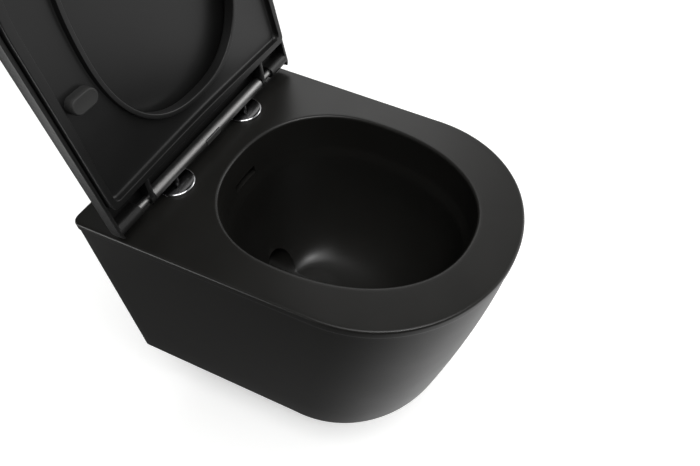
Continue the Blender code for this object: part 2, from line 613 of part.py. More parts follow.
# ---------------------------------------------------------------- hinge on the deck
def make_hinge_mount(side, word):
    x = side * POST_X
    base_radius = ROSETTE_RADIUS - POST_BASE_WALL
    base_top = ROSETTE_HEIGHT - ROSETTE_SKIN - GAP
    shell = [(0, ROSETTE_HEIGHT), (ROSETTE_RADIUS - 0.0016, ROSETTE_HEIGHT),
             (ROSETTE_RADIUS - 0.0004, ROSETTE_HEIGHT - 0.0004), (ROSETTE_RADIUS, ROSETTE_HEIGHT - 0.0014),
             (ROSETTE_RADIUS, GAP), (base_radius + GAP, GAP), (base_radius + GAP, base_top + GAP),
             (0, base_top + GAP)]
    rosette = turned(word + "_rosette", shell, (x, BOLT_Y, DECK_Z), "bright_chrome", steps=32)
    cut(rosette, rod(word + "_neck_hole", POST_NECK_RADIUS + GAP, (x, AXIS_Y, DECK_Z), (x, AXIS_Y, AXIS_Z)))
    base = [(0, base_top), (base_radius, base_top), (base_radius, GAP), (0, GAP)]
    post = turned(word + "_hinge_post", base, (x, BOLT_Y, DECK_Z), "satin_steel")
    neck_top = AXIS_Z - BAR_RADIUS - 0.0005
    join(post, rod(word + "_neck", POST_NECK_RADIUS, (x, AXIS_Y, DECK_Z + base_top * 0.5),
                   (x, AXIS_Y, neck_top)))
    join(post, rod(word + "_pin", POST_PIN_RADIUS, (x, AXIS_Y, neck_top - 0.002),
                   (x, AXIS_Y, AXIS_Z + POST_PIN_ABOVE_AXIS)))
    bolt_top = base_top * 0.6
    cut(post, rod(word + "_bolt_hole", BOLT_RADIUS + GAP, (x, BOLT_Y, DECK_Z - 0.01),
                  (x, BOLT_Y, DECK_Z + bolt_top + GAP)))
    washer_top = -DECK_WALL - GAP
    washer_low = washer_top - CONE_WASHER_HEIGHT
    nut_top = washer_low - GAP
    nut_low = nut_top - WING_NUT_HEIGHT
    bolt_low = nut_low - BOLT_BELOW_NUT
    bolt = [(0, bolt_top), (BOLT_RADIUS, bolt_top), (BOLT_RADIUS, bolt_low + 0.001),
            (BOLT_RADIUS - 0.001, bolt_low), (0, bolt_low)]
    turned(word + "_seat_bolt", bolt, (x, BOLT_Y, DECK_Z), "zinc_steel", steps=20)
    hole = BOLT_RADIUS + GAP
    cone = [(CONE_WASHER_RADIUS, washer_top), (CONE_WASHER_RADIUS, washer_top - 0.003),
            (WING_NUT_RADIUS, washer_low), (hole, washer_low), (hole, washer_top)]
    turned(word + "_cone_washer", cone, (x, BOLT_Y, DECK_Z), "dark_rubber", closed=True)
    body = [(WING_NUT_RADIUS, nut_top), (WING_NUT_RADIUS - 0.001, nut_low), (hole, nut_low), (hole, nut_top)]
    nut = turned(word + "_wing_nut", body, (x, BOLT_Y, DECK_Z), "grey_plastic", closed=True)
    for end in (-1, 1):
        near = hole + 0.002
        low = (x + end * near, BOLT_Y - WING_THICKNESS / 2, DECK_Z + nut_low - 0.003)
        high = (x + end * WING_SPAN, BOLT_Y + WING_THICKNESS / 2, DECK_Z + nut_top - 0.002)
        corners = [[min(a, b) for a, b in zip(low, high)], [max(a, b) for a, b in zip(low, high)]]
        join(nut, box(word + "_wing", *corners))


def make_bar():
    tube = turned("hinge_bar", ring_profile(BAR_RADIUS, BAR_BORE, -BAR_HALF_LENGTH, BAR_HALF_LENGTH),
                  AXIS, "satin_steel", "X", closed=True)
    for side in (-1, 1):
        x = side * POST_X
        cut(tube, rod("post_socket", POST_PIN_RADIUS + GAP, (x, AXIS_Y, AXIS_Z - BAR_RADIUS - 0.004),
                      (x, AXIS_Y, AXIS_Z)))
    half = BUTTON_LENGTH / 2 + BUTTON_CLEARANCE
    rise = BUTTON_HEIGHT / 2 + BUTTON_CLEARANCE
    cut(tube, box("button_slot", (-half, AXIS_Y - BAR_RADIUS - 0.005, AXIS_Z - rise),
                  (half, AXIS_Y, AXIS_Z + rise)))
    shade_round(tube)


def make_release():
    half = BUTTON_LENGTH / 2
    rise = BUTTON_HEIGHT / 2
    face = AXIS_Y - BAR_RADIUS - BUTTON_PROUD
    back = AXIS_Y - BUTTON_TRAVEL
    pad_back = AXIS_Y - LATCH_RADIUS - BUTTON_TRAVEL - GAP
    corner = 0.0012
    outline = []
    for cy, cz, start in ((-1, -1, 180), (1, -1, 270), (1, 1, 0), (-1, 1, 90)):
        outline += arc((cy * (half - corner), cz * (rise - corner)), corner, start, start + 90, 3)
    pad = plate("release_button", outline, 0.0, pad_back - face, PARTS, "satin_steel", (0, face, AXIS_Z))
    # the plate's y becomes the bar's X, and its thickness points into the bar
    pad.data.transform(Matrix(((0, 1, 0, 0), (1, 0, 0, 0), (0, 0, 1, 0), (0, 0, 0, 1))))
    pad.data.flip_normals()
    tongue = box("tongue", (-TONGUE_HALF_WIDTH, pad_back - 0.0005, AXIS_Z - 0.002),
                 (TONGUE_HALF_WIDTH, back, AXIS_Z + 0.002))
    join(pad, tongue)
    pressed_back = back + BUTTON_TRAVEL + GAP
    wall = AXIS_Y + BAR_BORE - 0.0006
    spring_length = wall - pressed_back - 2 * SPRING_WIRE
    make_spring("button_spring", pressed_back + SPRING_WIRE, spring_length)


def make_spring(name, start_y, length):
    curve = bpy.data.curves.new(name, "CURVE")
    curve.dimensions = "3D"
    curve.bevel_depth = SPRING_WIRE
    curve.bevel_resolution = 1
    curve.use_fill_caps = True
    line = curve.splines.new("POLY")
    count = SPRING_TURNS * 10
    line.points.add(count)
    for i, point in enumerate(line.points):
        angle = math.tau * SPRING_TURNS * i / count
        point.co = (SPRING_RADIUS * math.cos(angle), length * i / count, SPRING_RADIUS * math.sin(angle), 1)
    coil = bpy.data.objects.new(name, curve)
    coil.location = (0, start_y, AXIS_Z)
    place(coil, PARTS, "zinc_steel")


def make_latch(side, word):
    """A pin that slides away from its post when the button goes in."""
    inner = TONGUE_HALF_WIDTH + BUTTON_TRAVEL + 0.001
    outer = BAR_MIDDLE_TO_POST
    collar = (inner + outer) / 2 + 0.010
    tail = collar - LATCH_COLLAR_LENGTH
    profile = [(0, outer), (LATCH_RADIUS - 0.0005, outer), (LATCH_RADIUS, outer - 0.0005),
               (LATCH_RADIUS, collar), (LATCH_COLLAR_RADIUS, collar), (LATCH_COLLAR_RADIUS, tail),
               (LATCH_RADIUS, tail), (LATCH_RADIUS, inner), (0, inner)]
    turned(word + "_latch_pin", profile, AXIS, "zinc_steel", "X" if side > 0 else "-X", steps=16)


def make_damper(side, word):
    low = BAR_HALF_LENGTH - DAMPER_LENGTH
    high = BAR_HALF_LENGTH - 0.001
    outer = BAR_BORE - GAP
    bore = SHAFT_TAIL_RADIUS + SHAFT_CLEARANCE
    bottom = BAR_HALF_LENGTH - SHAFT_TAIL_LENGTH - 0.002
    profile = [(0, bottom), (bore, bottom), (bore, high), (outer, high), (outer, low), (0, low)]
    turned(word + "_damper", profile, AXIS, "grey_plastic", "X" if side > 0 else "-X", steps=16)


def make_shaft(side, word):
    """The shaft out of a damper, through the seat's lug and into the cover."""
    tail = BAR_HALF_LENGTH - SHAFT_TAIL_LENGTH
    shoulder = BAR_HALF_LENGTH + GAP
    end = KNUCKLE_X0 + SHAFT_IN_COVER
    profile = [(0, end), (SHAFT_RADIUS - 0.0006, end), (SHAFT_RADIUS, end - 0.0006),
               (SHAFT_RADIUS, shoulder), (SHAFT_TAIL_RADIUS, shoulder), (SHAFT_TAIL_RADIUS, tail), (0, tail)]
    turned(word + "_hinge_shaft", profile, AXIS, "satin_steel", "X" if side > 0 else "-X", steps=24)


# ---------------------------------------------------------------- seat and cover
def raised(item):
    """Swing a piece that was drawn closed, about the hinge axis."""
    item.rotation_euler = (-OPEN_ANGLE, 0, 0)
    return item


HOLE_REAR_Y = AXIS_Y - SEAT_HOLE_REAR
HOLE_FRONT_Y = SEAT_FRONT_Y + SEAT_HOLE_FRONT
HOLE_MIDDLE_Y = HOLE_REAR_Y * 0.52 + HOLE_FRONT_Y * 0.48


def in_ring_outline(x, y):
    turn_y = SEAT_FRONT_Y + FRONT_DEPTH
    if abs(x) >= SEAT_HALF or y >= AXIS_Y - SEAT_REAR:
        return False
    beyond = max(turn_y - y, 0.0) / FRONT_DEPTH
    return abs(x / SEAT_HALF) ** CURVE_POWER + beyond ** CURVE_POWER < 1 or y >= turn_y


def in_hole_outline(x, y):
    reach = HOLE_REAR_Y - HOLE_MIDDLE_Y if y > HOLE_MIDDLE_Y else HOLE_MIDDLE_Y - HOLE_FRONT_Y
    across = abs(x / SEAT_HOLE_HALF_WIDTH) ** HOLE_POWER
    return across + abs((y - HOLE_MIDDLE_Y) / reach) ** HOLE_POWER < 1


def edge_along(toward, inside):
    """Where a ray from the hole's middle leaves an outline."""
    low, high = 0.0, PAN_LENGTH
    for _ in range(40):
        reach = (low + high) / 2
        if inside(toward.x * reach, HOLE_MIDDLE_Y + toward.y * reach):
            low = reach
        else:
            high = reach
    return Vector((toward.x * low, HOLE_MIDDLE_Y + toward.y * low, 0))


def seat_outline():
    """Outer and inner edges of the ring, matched point by point."""
    rear = HOLE_REAR_Y - HOLE_MIDDLE_Y
    front = HOLE_MIDDLE_Y - HOLE_FRONT_Y
    inner = egg(SEAT_HOLE_HALF_WIDTH, HOLE_MIDDLE_Y, rear, front, 0.0, SEAT_STEPS, HOLE_POWER)
    outer = []
    for point in inner:
        toward = Vector((point.x, point.y - HOLE_MIDDLE_Y, 0)).normalized()
        outer.append(edge_along(toward, in_ring_outline))
    return outer, inner


def make_seat():
    outer, inner = seat_outline()
    bottom, top = SEAT_BOTTOM_Z, SEAT_TOP_Z
    floor = bottom + SEAT_RECESS
    section = [("o", SEAT_BORDER, bottom), ("o", 0.0012, bottom), ("o", 0.0, bottom + 0.0014),
               ("o", 0.0, top - SEAT_ROUND), ("o", SEAT_ROUND * 0.3, top - SEAT_ROUND * 0.3),
               ("o", SEAT_ROUND, top), ("i", SEAT_ROUND, top), ("i", SEAT_ROUND * 0.3, top - SEAT_ROUND * 0.3),
               ("i", 0.0, top - SEAT_ROUND), ("i", 0.0, bottom + 0.0014), ("i", 0.0012, bottom),
               ("i", SEAT_LIP, bottom), ("i", SEAT_LIP + RECESS_FLARE, floor),
               ("o", SEAT_BORDER + RECESS_FLARE, floor)]
    shape = bmesh.new()
    rows = []
    for edge, hole in zip(outer, inner):
        across = (hole - edge).normalized()
        row = []
        for which, inset, z in section:
            spot = edge + across * inset if which == "o" else hole - across * inset
            row.append(shape.verts.new(Vector((spot.x, spot.y, z)) - AXIS))
        rows.append(row)
    for i, row in enumerate(rows):
        following = rows[(i + 1) % len(rows)]
        for j in range(len(section)):
            k = (j + 1) % len(section)
            shape.faces.new((row[j], following[j], following[k], row[k]))
    bmesh.ops.recalc_face_normals(shape, faces=shape.faces)
    seat = from_bmesh("seat_ring", shape, PARTS, "black_seat", AXIS)
    raised(seat)
    for side in (-1, 1):
        low, high = sorted((side * LUG_X0, side * LUG_X1))
        join(seat, raised(seat_lug(low, high)))
    for side in (-1, 1):
        bore = rod("lug_bore", SHAFT_RADIUS + SHAFT_CLEARANCE, (side * (LUG_X0 - 0.005), AXIS_Y, AXIS_Z),
                   (side * (LUG_X1 + 0.005), AXIS_Y, AXIS_Z))
        cut(seat, bore)
    shade_round(seat)


def seat_lug(low_x, high_x):
    """A flat ear from the ring back to the hinge axis."""
    bottom = SEAT_BOTTOM_Z + 0.002 - AXIS_Z
    top = SEAT_TOP_Z - 0.0015 - AXIS_Z
    reach = -(SEAT_REAR + SEAT_BORDER * 0.8)
    nose = arc((0, 0), LUG_RADIUS, -110, 100, 14)
    return plate("seat_ear", [(reach, bottom)] + nose + [(reach, top)], low_x, high_x, location=AXIS)


def cover_ring(inset, z, rear_y):
    front_y = -(PAN_LENGTH + COVER_NOSE - inset)
    return d_outline(COVER_HALF - inset, rear_y, front_y, FRONT_DEPTH, z)


def make_cover():
    rear = AXIS_Y + COVER_REAR
    bottom = DECK_Z + COVER_CLEARANCE
    levels = [(0.0008, bottom), (0.0, bottom + 0.001), (0.0, COVER_TOP_Z - COVER_ROUND),
              (COVER_ROUND * 0.08, COVER_TOP_Z - COVER_ROUND * 0.6),
              (COVER_ROUND * 0.3, COVER_TOP_Z - COVER_ROUND * 0.3),
              (COVER_ROUND * 0.6, COVER_TOP_Z - COVER_ROUND * 0.08), (COVER_ROUND, COVER_TOP_Z)]
    cover = loft("cover", [cover_ring(inset, z, rear) for inset, z in levels], PARTS, "black_seat", AXIS)
    inner_round = COVER_ROUND - COVER_WALL
    levels = [(COVER_WALL, bottom - 0.02), (COVER_WALL, COVER_INNER_Z - inner_round),
              (COVER_WALL + inner_round * 0.3, COVER_INNER_Z - inner_round * 0.3),
              (COVER_WALL + inner_round, COVER_INNER_Z)]
    inside = loft("cover_inside", [cover_ring(inset, z, AXIS_Y + 0.06) for inset, z in levels], origin=AXIS)
    raised(cover)
    cut(cover, raised(inside))
    for side in (-1, 1):
        low, high = sorted((side * KNUCKLE_X0, side * (COVER_HALF - COVER_WALL / 2)))
        join(cover, raised(cover_knuckle(low, high)))
    cut(cover, raised(rear_relief()))
    for side in (-1, 1):
        end = KNUCKLE_X0 + SHAFT_IN_COVER + GAP
        cut(cover, rod("knuckle_bore", SHAFT_RADIUS + SHAFT_CLEARANCE,
                       (side * (KNUCKLE_X0 - 0.01), AXIS_Y, AXIS_Z), (side * end, AXIS_Y, AXIS_Z)))
    shade_round(cover)


def cover_knuckle(low_x, high_x):
    """The block inside each cheek that a shaft turns in."""
    roof = COVER_INNER_Z + COVER_WALL / 2 - AXIS_Z
    nose = arc((0, 0), LUG_RADIUS, 180, 360, 12)
    return plate("knuckle", nose + [(LUG_RADIUS, roof), (-LUG_RADIUS, roof)], low_x, high_x, location=AXIS)


def rear_relief():
    """Takes off what would meet the deck behind the hinge as the cover swings."""
    radius = HINGE_RISE - COVER_SWEEP_CLEARANCE
    far = radius + 0.05
    outline = arc((0, 0), radius, -90, 0, 10) + [(far, 0), (far, -far), (0, -far)]
    return plate("rear_relief", list(reversed(outline)), -PAN_WIDTH, PAN_WIDTH, location=AXIS)


def obround(half_length, half_width, steps=8):
    straight = half_length - half_width
    right = arc((straight, 0), half_width, -90, 90, steps)
    left = arc((-straight, 0), half_width, 90, 270, steps)
    return right + left


def buffer_spot(outer, inner):
    """Middle of the recess between two edges of the ring, and the length it takes."""
    across = (outer - inner).normalized()
    low = inner + across * (SEAT_LIP + RECESS_FLARE + BUFFER_MARGIN)
    high = outer - across * (SEAT_BORDER + RECESS_FLARE + BUFFER_MARGIN)
    return (low + high) / 2, min(SEAT_BUFFER_LENGTH, (high - low).length)


def make_seat_buffer(name, spot, turn):
    """A rubber block under the ring, slightly narrower where it meets the pan."""
    middle, length = spot
    outline = obround(length / 2, SEAT_BUFFER_WIDTH / 2)
    high = SEAT_BOTTOM_Z + SEAT_RECESS - GAP
    low = DECK_Z + GAP
    levels = [(0.93, low), (1.0, low + 0.0012), (1.0, high)]
    place_there = Matrix.Translation(middle) @ Matrix.Rotation(math.radians(turn), 4, "Z")
    rings = [[place_there @ Vector((x * size, y * size, z)) for x, y in outline] for size, z in levels]
    raised(loft(name, rings, PARTS, "dark_rubber", AXIS))


def make_cover_buffer(name, x, y):
    low = SEAT_TOP_Z + GAP
    high = COVER_INNER_Z - GAP
    radius = COVER_BUFFER_RADIUS
    sides = 20
    levels = [(radius * 0.75, low), (radius * 0.95, low + 0.001), (radius, low + 0.0025), (radius, high)]
    rings = []
    for size, z in levels:
        turns = [math.tau * i / sides for i in range(sides)]
        rings.append([Vector((x + size * math.cos(a), y + size * math.sin(a), z)) for a in turns])
    raised(loft(name, rings, PARTS, "dark_rubber", AXIS))


def make_buffers():
    side_y = AXIS_Y - SIDE_BUFFER_FROM_AXIS
    cover_y = SEAT_FRONT_Y + SEAT_HOLE_FRONT * 0.55
    slant = math.radians(FRONT_BUFFER_ANGLE)
    for side, word in ((-1, "left"), (1, "right")):
        outer = Vector((side * SEAT_HALF, side_y, 0))
        inner = Vector((side * SEAT_HOLE_HALF_WIDTH, side_y, 0))
        make_seat_buffer(word + "_side_buffer", buffer_spot(outer, inner), 0.0)
        toward = Vector((side * math.cos(slant), -math.sin(slant), 0))
        outer = edge_along(toward, in_ring_outline)
        inner = edge_along(toward, in_hole_outline)
        make_seat_buffer(word + "_front_buffer", buffer_spot(outer, inner), -side * FRONT_BUFFER_ANGLE)
        make_cover_buffer(word + "_cover_buffer", side * COVER_BUFFER_HALF_SPACING, cover_y)


make_pan()
make_pipes()
make_bar()
make_release()
for side, word in ((-1, "left"), (1, "right")):
    make_wall_fixings(side, word)
    make_hinge_mount(side, word)
    make_latch(side, word)
    make_damper(side, word)
    make_shaft(side, word)
make_seat()
make_cover()
make_buffers()
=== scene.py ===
"""Wall-hung toilet: matt black pan, lift-off seat and wrap-over cover, finished surfaces.

Metres, +Z up. The wall plane is y = 0 and the pan points along -Y. The seat and the
cover are shaped closed and then swung up about the hinge axis.
"""

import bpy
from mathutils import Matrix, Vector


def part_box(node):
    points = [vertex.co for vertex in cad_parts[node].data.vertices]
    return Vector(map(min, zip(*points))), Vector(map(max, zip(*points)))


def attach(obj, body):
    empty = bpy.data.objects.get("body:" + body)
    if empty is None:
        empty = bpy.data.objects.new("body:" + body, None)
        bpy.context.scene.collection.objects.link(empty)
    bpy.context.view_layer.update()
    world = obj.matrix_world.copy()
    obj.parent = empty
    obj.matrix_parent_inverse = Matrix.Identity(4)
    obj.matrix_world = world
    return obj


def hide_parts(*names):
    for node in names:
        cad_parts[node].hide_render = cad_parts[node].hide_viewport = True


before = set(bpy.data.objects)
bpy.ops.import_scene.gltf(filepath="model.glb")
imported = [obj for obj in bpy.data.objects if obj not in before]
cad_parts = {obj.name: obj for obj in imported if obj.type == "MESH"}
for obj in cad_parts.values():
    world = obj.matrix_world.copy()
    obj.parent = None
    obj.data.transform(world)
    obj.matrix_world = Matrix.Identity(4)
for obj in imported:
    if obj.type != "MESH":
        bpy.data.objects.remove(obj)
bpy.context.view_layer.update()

import math

import bmesh
import bpy
from mathutils import Matrix, Vector

# ---------------------------------------------------------------- sizes from the frame
PAN_LOW, PAN_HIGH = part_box("pan_body")
BAR_LOW, BAR_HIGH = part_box("hinge_bar")
ROSETTE_LOW, ROSETTE_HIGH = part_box("right_rosette")
BUTTON_LOW, BUTTON_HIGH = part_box("release_button")
HALF_PAN = PAN_HIGH.x           # at the wall
PAN_LENGTH = -PAN_LOW.y
DECK_Z = PAN_HIGH.z
PAN_HEIGHT = DECK_Z - PAN_LOW.z
AXIS = Vector((0, (BAR_LOW.y + BAR_HIGH.y) / 2, (BAR_LOW.z + BAR_HIGH.z) / 2))
BAR_HALF = BAR_HIGH.x
BAR_RADIUS = (BAR_HIGH.z - BAR_LOW.z) / 2
POST_X = (ROSETTE_LOW.x + ROSETTE_HIGH.x) / 2
BOLT_Y = (ROSETTE_LOW.y + ROSETTE_HIGH.y) / 2
ROSETTE_RADIUS = (ROSETTE_HIGH.x - ROSETTE_LOW.x) / 2
ROSETTE_TOP = ROSETTE_HIGH.z
OPEN_ANGLE = math.radians(97.3)

# ---------------------------------------------------------------- other sizes
PAN_NARROWING = 0.011         # each side, from the wall to the start of the front curve
HALF_FRONT = HALF_PAN - PAN_NARROWING
FRONT_DEPTH = 0.175           # length of the curved front, behind the nose
CURVE_POWER = 2.05            # 2 is an ellipse, more is squarer
FRONT_LEAN = 0.064            # how far the foot stands back from the nose
LEAN_POWER = 1.3
RIM_BEAD = 0.013
BEAD_STEP = 0.0015
EDGE_ROUND = 0.004
FOOT_ROUND = 0.0055
SKIRT_WALL = 0.010
DECK_WALL = 0.014
FLOOR_WALL = 0.012
PAN_CORNER = 0.009            # the skirt's upright edges at the wall

RIM_SIDE = 0.044
RIM_FRONT = 0.055
REAR_DECK = 0.123
BOWL_WIDEST = 0.259
BOWL_POWER = 2.2
BOWL_DEPTH = 0.250
BOWL_WALL = 0.010
BOWL_FULLNESS = 2.2
LEDGE_DEPTH = 0.054
LEDGE_WIDTH = 0.006
LEDGE_FALL = 0.020
LEDGE_TAPER = 0.985
LIP_ROUND = 0.004
SUMP_Y = 0.215
SUMP_HALF_WIDTH = 0.036
SUMP_FRONT = 0.047
SUMP_REAR = 0.037

OUTLET_Z = -0.100
TRAP_BORE = 0.025
TRAP_WALL = 0.008
WEIR_RISE = 0.038
HORN_RADIUS = 0.051
HORN_WALL = 0.008
HORN_SETBACK = 0.020
HORN_LENGTH = 0.050
WASTE_WAY = 0.0591
INLET_Z = 0.035
INLET_BORE = 0.0275
INLET_WALL = 0.0085
INLET_DEPTH = 0.098
JET_WIDTH = 0.046
JET_HEIGHT = 0.012
FIXING_X = 0.090
FIXING_BORE = 0.011
WEB_THICKNESS = 0.016
WEB_ABOVE = 0.058
WEB_BELOW = 0.070
LUG_HALF_WIDTH = 0.022
LUG_HALF_HEIGHT = 0.025
LUG_DEPTH = 0.040
BOLT_HOLE = 0.0070
POST_NECK = 0.0045            # the rosette's opening round the post
POST_SOCKET = 0.0033          # the bar's bore for the post's pin
ROSETTE_SKIRT = 0.0022        # thickness of the rosette's edge
ROSETTE_FACE = 0.0011         # and of its top
BAR_WALL = 0.0015
BAR_CHAMFER = 0.0006
BAR_CHAMFER_LENGTH = 0.0005
BUTTON_CORNER = 0.0016
WEDGE_HALF_WIDTH = 0.0025
WEDGE_HALF_HEIGHT = 0.002

SEAT_CLEARANCE = 0.005
SEAT_THICKNESS = 0.016
SEAT_REAR = 0.0333            # hinge axis to the ring's rear edge
SEAT_HOLE_HALF = 0.1175
SEAT_HOLE_REAR = 0.0715
SEAT_HOLE_FRONT = 0.062
HOLE_POWER = 2.4
SEAT_RECESS = 0.008
RECESS_FLARE = 0.001
RECESS_FILLET = 0.011         # how far the border runs out into the recess floor
SEAT_BORDER = 0.0110
SEAT_LIP = 0.006
SEAT_ROUND = 0.005
SEAT_CORNER = 0.008
LUG_X = (0.1200, 0.1270)      # the seat's ears along the hinge axis
EAR_RADIUS = 0.0088
SHAFT_BORE = 0.0053

COVER_OVERLAP = 0.0105
COVER_NOSE = 0.004
COVER_WALL = 0.0042
COVER_TO_SEAT = 0.0018
COVER_CLEARANCE = 0.012
COVER_OVER_BAR = 0.002
COVER_REAR = 0.012
COVER_ROUND = 0.010
COVER_CORNER = 0.008
COVER_CROWN = 0.0010
RELIEF_RADIUS = 0.0175        # clears the deck behind the hinge as the cover swings
KNUCKLE_X = (0.1450, 0.1673)

BUFFER_LENGTH = 0.036
BUFFER_WIDTH = 0.020
BUFFER_MARGIN = 0.0020
SIDE_BUFFER_FROM_AXIS = 0.164
FRONT_BUFFER_ANGLE = 60.0
COVER_BUFFER_RADIUS = 0.007
COVER_BUFFER_X = 0.060
GAP = 0.0003

COVER_HALF = HALF_FRONT + COVER_OVERLAP
SEAT_HALF = COVER_HALF - COVER_WALL - COVER_TO_SEAT
SEAT_FRONT_Y = -(PAN_LENGTH + COVER_NOSE - COVER_WALL - COVER_TO_SEAT)
SEAT_BOTTOM = DECK_Z + SEAT_CLEARANCE
SEAT_TOP = SEAT_BOTTOM + SEAT_THICKNESS
COVER_INNER = AXIS.z + BAR_RADIUS + COVER_OVER_BAR
COVER_TOP = COVER_INNER + COVER_WALL
HOLE_REAR_Y = AXIS.y - SEAT_HOLE_REAR
HOLE_FRONT_Y = SEAT_FRONT_Y + SEAT_HOLE_FRONT
HOLE_MIDDLE_Y = HOLE_REAR_Y * 0.52 + HOLE_FRONT_Y * 0.48

# steps along each kind of line
SIDE_STEPS = 20
FRONT_STEPS = 132
REAR_STEPS = 30
CORNER_STEPS = 6
TURN_STEPS = 64


# ---------------------------------------------------------------- modelling helpers
def deselect():
    if bpy.context.mode != "OBJECT":
        bpy.ops.object.mode_set(mode="OBJECT")
    bpy.ops.object.select_all(action="DESELECT")


def take(piece):
    deselect()
    piece.select_set(True)
    bpy.context.view_layer.objects.active = piece
    return piece


def loft(name, rings, closed=True):
    """A disc, or an open ring, extruded from each outline to the next."""
    deselect()
    fill = "NGON" if closed else "NOTHING"
    bpy.ops.mesh.primitive_circle_add(vertices=len(rings[0]), fill_type=fill)
    piece = bpy.context.object
    piece.name = name
    piece.data.name = name
    bpy.ops.object.mode_set(mode="EDIT")
    bpy.ops.mesh.select_mode(type="VERT")
    bpy.ops.mesh.select_all(action="SELECT")
    shape = bmesh.from_edit_mesh(piece.data)
    ring = list(shape.verts)
    for vert, point in zip(ring, rings[0]):
        vert.co = point
    for outline in rings[1:]:
        places = [vert.co.to_tuple() for vert in ring]
        bpy.ops.mesh.extrude_region_move()
        shape = bmesh.from_edit_mesh(piece.data)
        fresh = {vert.co.to_tuple(): vert for vert in shape.verts if vert.select}
        ring = [fresh[place] for place in places]
        for vert, point in zip(ring, outline):
            vert.co = point
    bpy.ops.mesh.select_all(action="SELECT")
    if not closed:
        bpy.ops.mesh.remove_doubles(threshold=0.000005)
        bpy.ops.mesh.select_all(action="SELECT")
    bpy.ops.mesh.normals_make_consistent(inside=False)
    bpy.ops.object.mode_set(mode="OBJECT")
    return piece


def apply_boolean(piece, tool, operation, folded=False):
    step = piece.modifiers.new("boolean", "BOOLEAN")
    step.operation = operation
    step.solver = "EXACT"
    step.object = tool
    step.use_self = folded
    take(piece)
    bpy.ops.object.modifier_apply(modifier=step.name)
    bpy.data.objects.remove(tool, do_unlink=True)


def carve(piece, *tools, folded=False):
    for tool in tools:
        apply_boolean(piece, tool, "DIFFERENCE", folded)


def fuse(piece, *tools):
    for tool in tools:
        apply_boolean(piece, tool, "UNION")


def smooth(piece, angle=35.0):
    take(piece)
    bpy.ops.object.shade_smooth_by_angle(angle=math.radians(angle))


def shift(piece, matrix):
    """Moves a piece's own points, so that its object stays at the origin."""
    piece.data.transform(matrix)
    return piece


def swung(piece):
    """From closed to raised, about the hinge axis."""
    turn = Matrix.Translation(AXIS) @ Matrix.Rotation(-OPEN_ANGLE, 4, "X") @ Matrix.Translation(-AXIS)
    return shift(piece, turn)


def block(name, low, high):
    deselect()
    middle = (Vector(low) + Vector(high)) / 2
    bpy.ops.mesh.primitive_cube_add(size=1.0, location=middle, scale=Vector(high) - Vector(low))
    piece = bpy.context.object
    piece.name = name
    bpy.ops.object.transform_apply(location=True, rotation=True, scale=True)
    return piece


def circle(radius, height, centre, direction, steps=TURN_STEPS):
    """Points round an axis: direction Z, or X or Y towards the side that height grows."""
    points = []
    for i in range(steps):
        angle = math.tau * i / steps
        a, b = radius * math.cos(angle), radius * math.sin(angle)
        offset = {"Z": (a, b, height), "X": (height, a, b), "-X": (-height, -a, b),
                  "-Y": (a, -height, b)}[direction]
        points.append(Vector(centre) + Vector(offset))
    return points


def turned(name, profile, centre, direction="Z", closed=True, steps=TURN_STEPS):
    rings = [circle(radius, height, centre, direction, steps) for radius, height in profile]
    return loft(name, rings, closed)


def tube(name, profile, centre, direction="Z", steps=TURN_STEPS):
    """A turned piece with a bore: its profile comes back to where it starts."""
    return turned(name, profile + profile[:1], centre, direction, False, steps)


def rounded(corners, steps=5, looped=False):
    """A line through (a, b, radius) corners, with each radius drawn in."""
    line = []
    count = len(corners)
    for i, (a, b, radius) in enumerate(corners):
        if radius <= 0 or (not looped and i in (0, count - 1)):
            line.append((a, b))
            continue
        here = Vector((a, b))
        before = Vector(corners[i - 1][:2]) - here
        after = Vector(corners[(i + 1) % count][:2]) - here
        reach = min(radius, before.length * 0.49, after.length * 0.49)
        start = here + before.normalized() * reach
        end = here + after.normalized() * reach
        for k in range(steps + 1):
            t = k / steps
            point = start * (1 - t) ** 2 + here * 2 * t * (1 - t) + end * t ** 2
            line.append((point.x, point.y))
    return line


def power(value, exponent):
    return math.copysign(abs(value) ** exponent, value)


# ---------------------------------------------------------------- outlines
def d_outline(half, rear_y, front_y, depth, z, corner, widening=0.0):
    """Straight sides, set wider at the rear, and a curved front; round corners at the rear."""
    turn_y = front_y + depth
    points = []
    rear_half = half + widening
    for i in range(SIDE_STEPS):
        share = i / SIDE_STEPS
        y = rear_y - corner + (turn_y - rear_y + corner) * share
        points.append(Vector((-rear_half + widening * share, y, z)))
    for i in range(FRONT_STEPS + 1):
        angle = math.pi * i / FRONT_STEPS
        x = -half * power(math.cos(angle), 2 / CURVE_POWER)
        y = turn_y - depth * power(math.sin(angle), 2 / CURVE_POWER)
        points.append(Vector((x, y, z)))
    for i in range(SIDE_STEPS):
        share = (i + 1) / SIDE_STEPS
        y = turn_y + (rear_y - corner - turn_y) * share
        points.append(Vector((half + widening * share, y, z)))
    half = rear_half
    for i in range(1, CORNER_STEPS + 1):
        angle = math.pi / 2 * i / CORNER_STEPS
        x = half - corner + corner * math.cos(angle)
        points.append(Vector((x, rear_y - corner + corner * math.sin(angle), z)))
    for i in range(1, REAR_STEPS):
        points.append(Vector(((half - corner) * (1 - 2 * i / REAR_STEPS), rear_y, z)))
    for i in range(CORNER_STEPS):
        angle = math.pi / 2 * (1 - i / CORNER_STEPS)
        x = -half + corner - corner * math.cos(angle)
        points.append(Vector((x, rear_y - corner + corner * math.sin(angle), z)))
    return points


def egg_directions(outline, middle_y, half, rear, front, squareness):
    """For each point of an outline, the egg's own angle on the same ray, as (cos, sin)."""
    pairs = []
    for point in outline:
        x, y = point.x, point.y - middle_y
        reach = rear if y > 0 else front
        scale = (abs(x / half) ** squareness + abs(y / reach) ** squareness) ** (-1 / squareness)
        pairs.append((power(x * scale / half, squareness / 2), power(y * scale / reach, squareness / 2)))
    return pairs


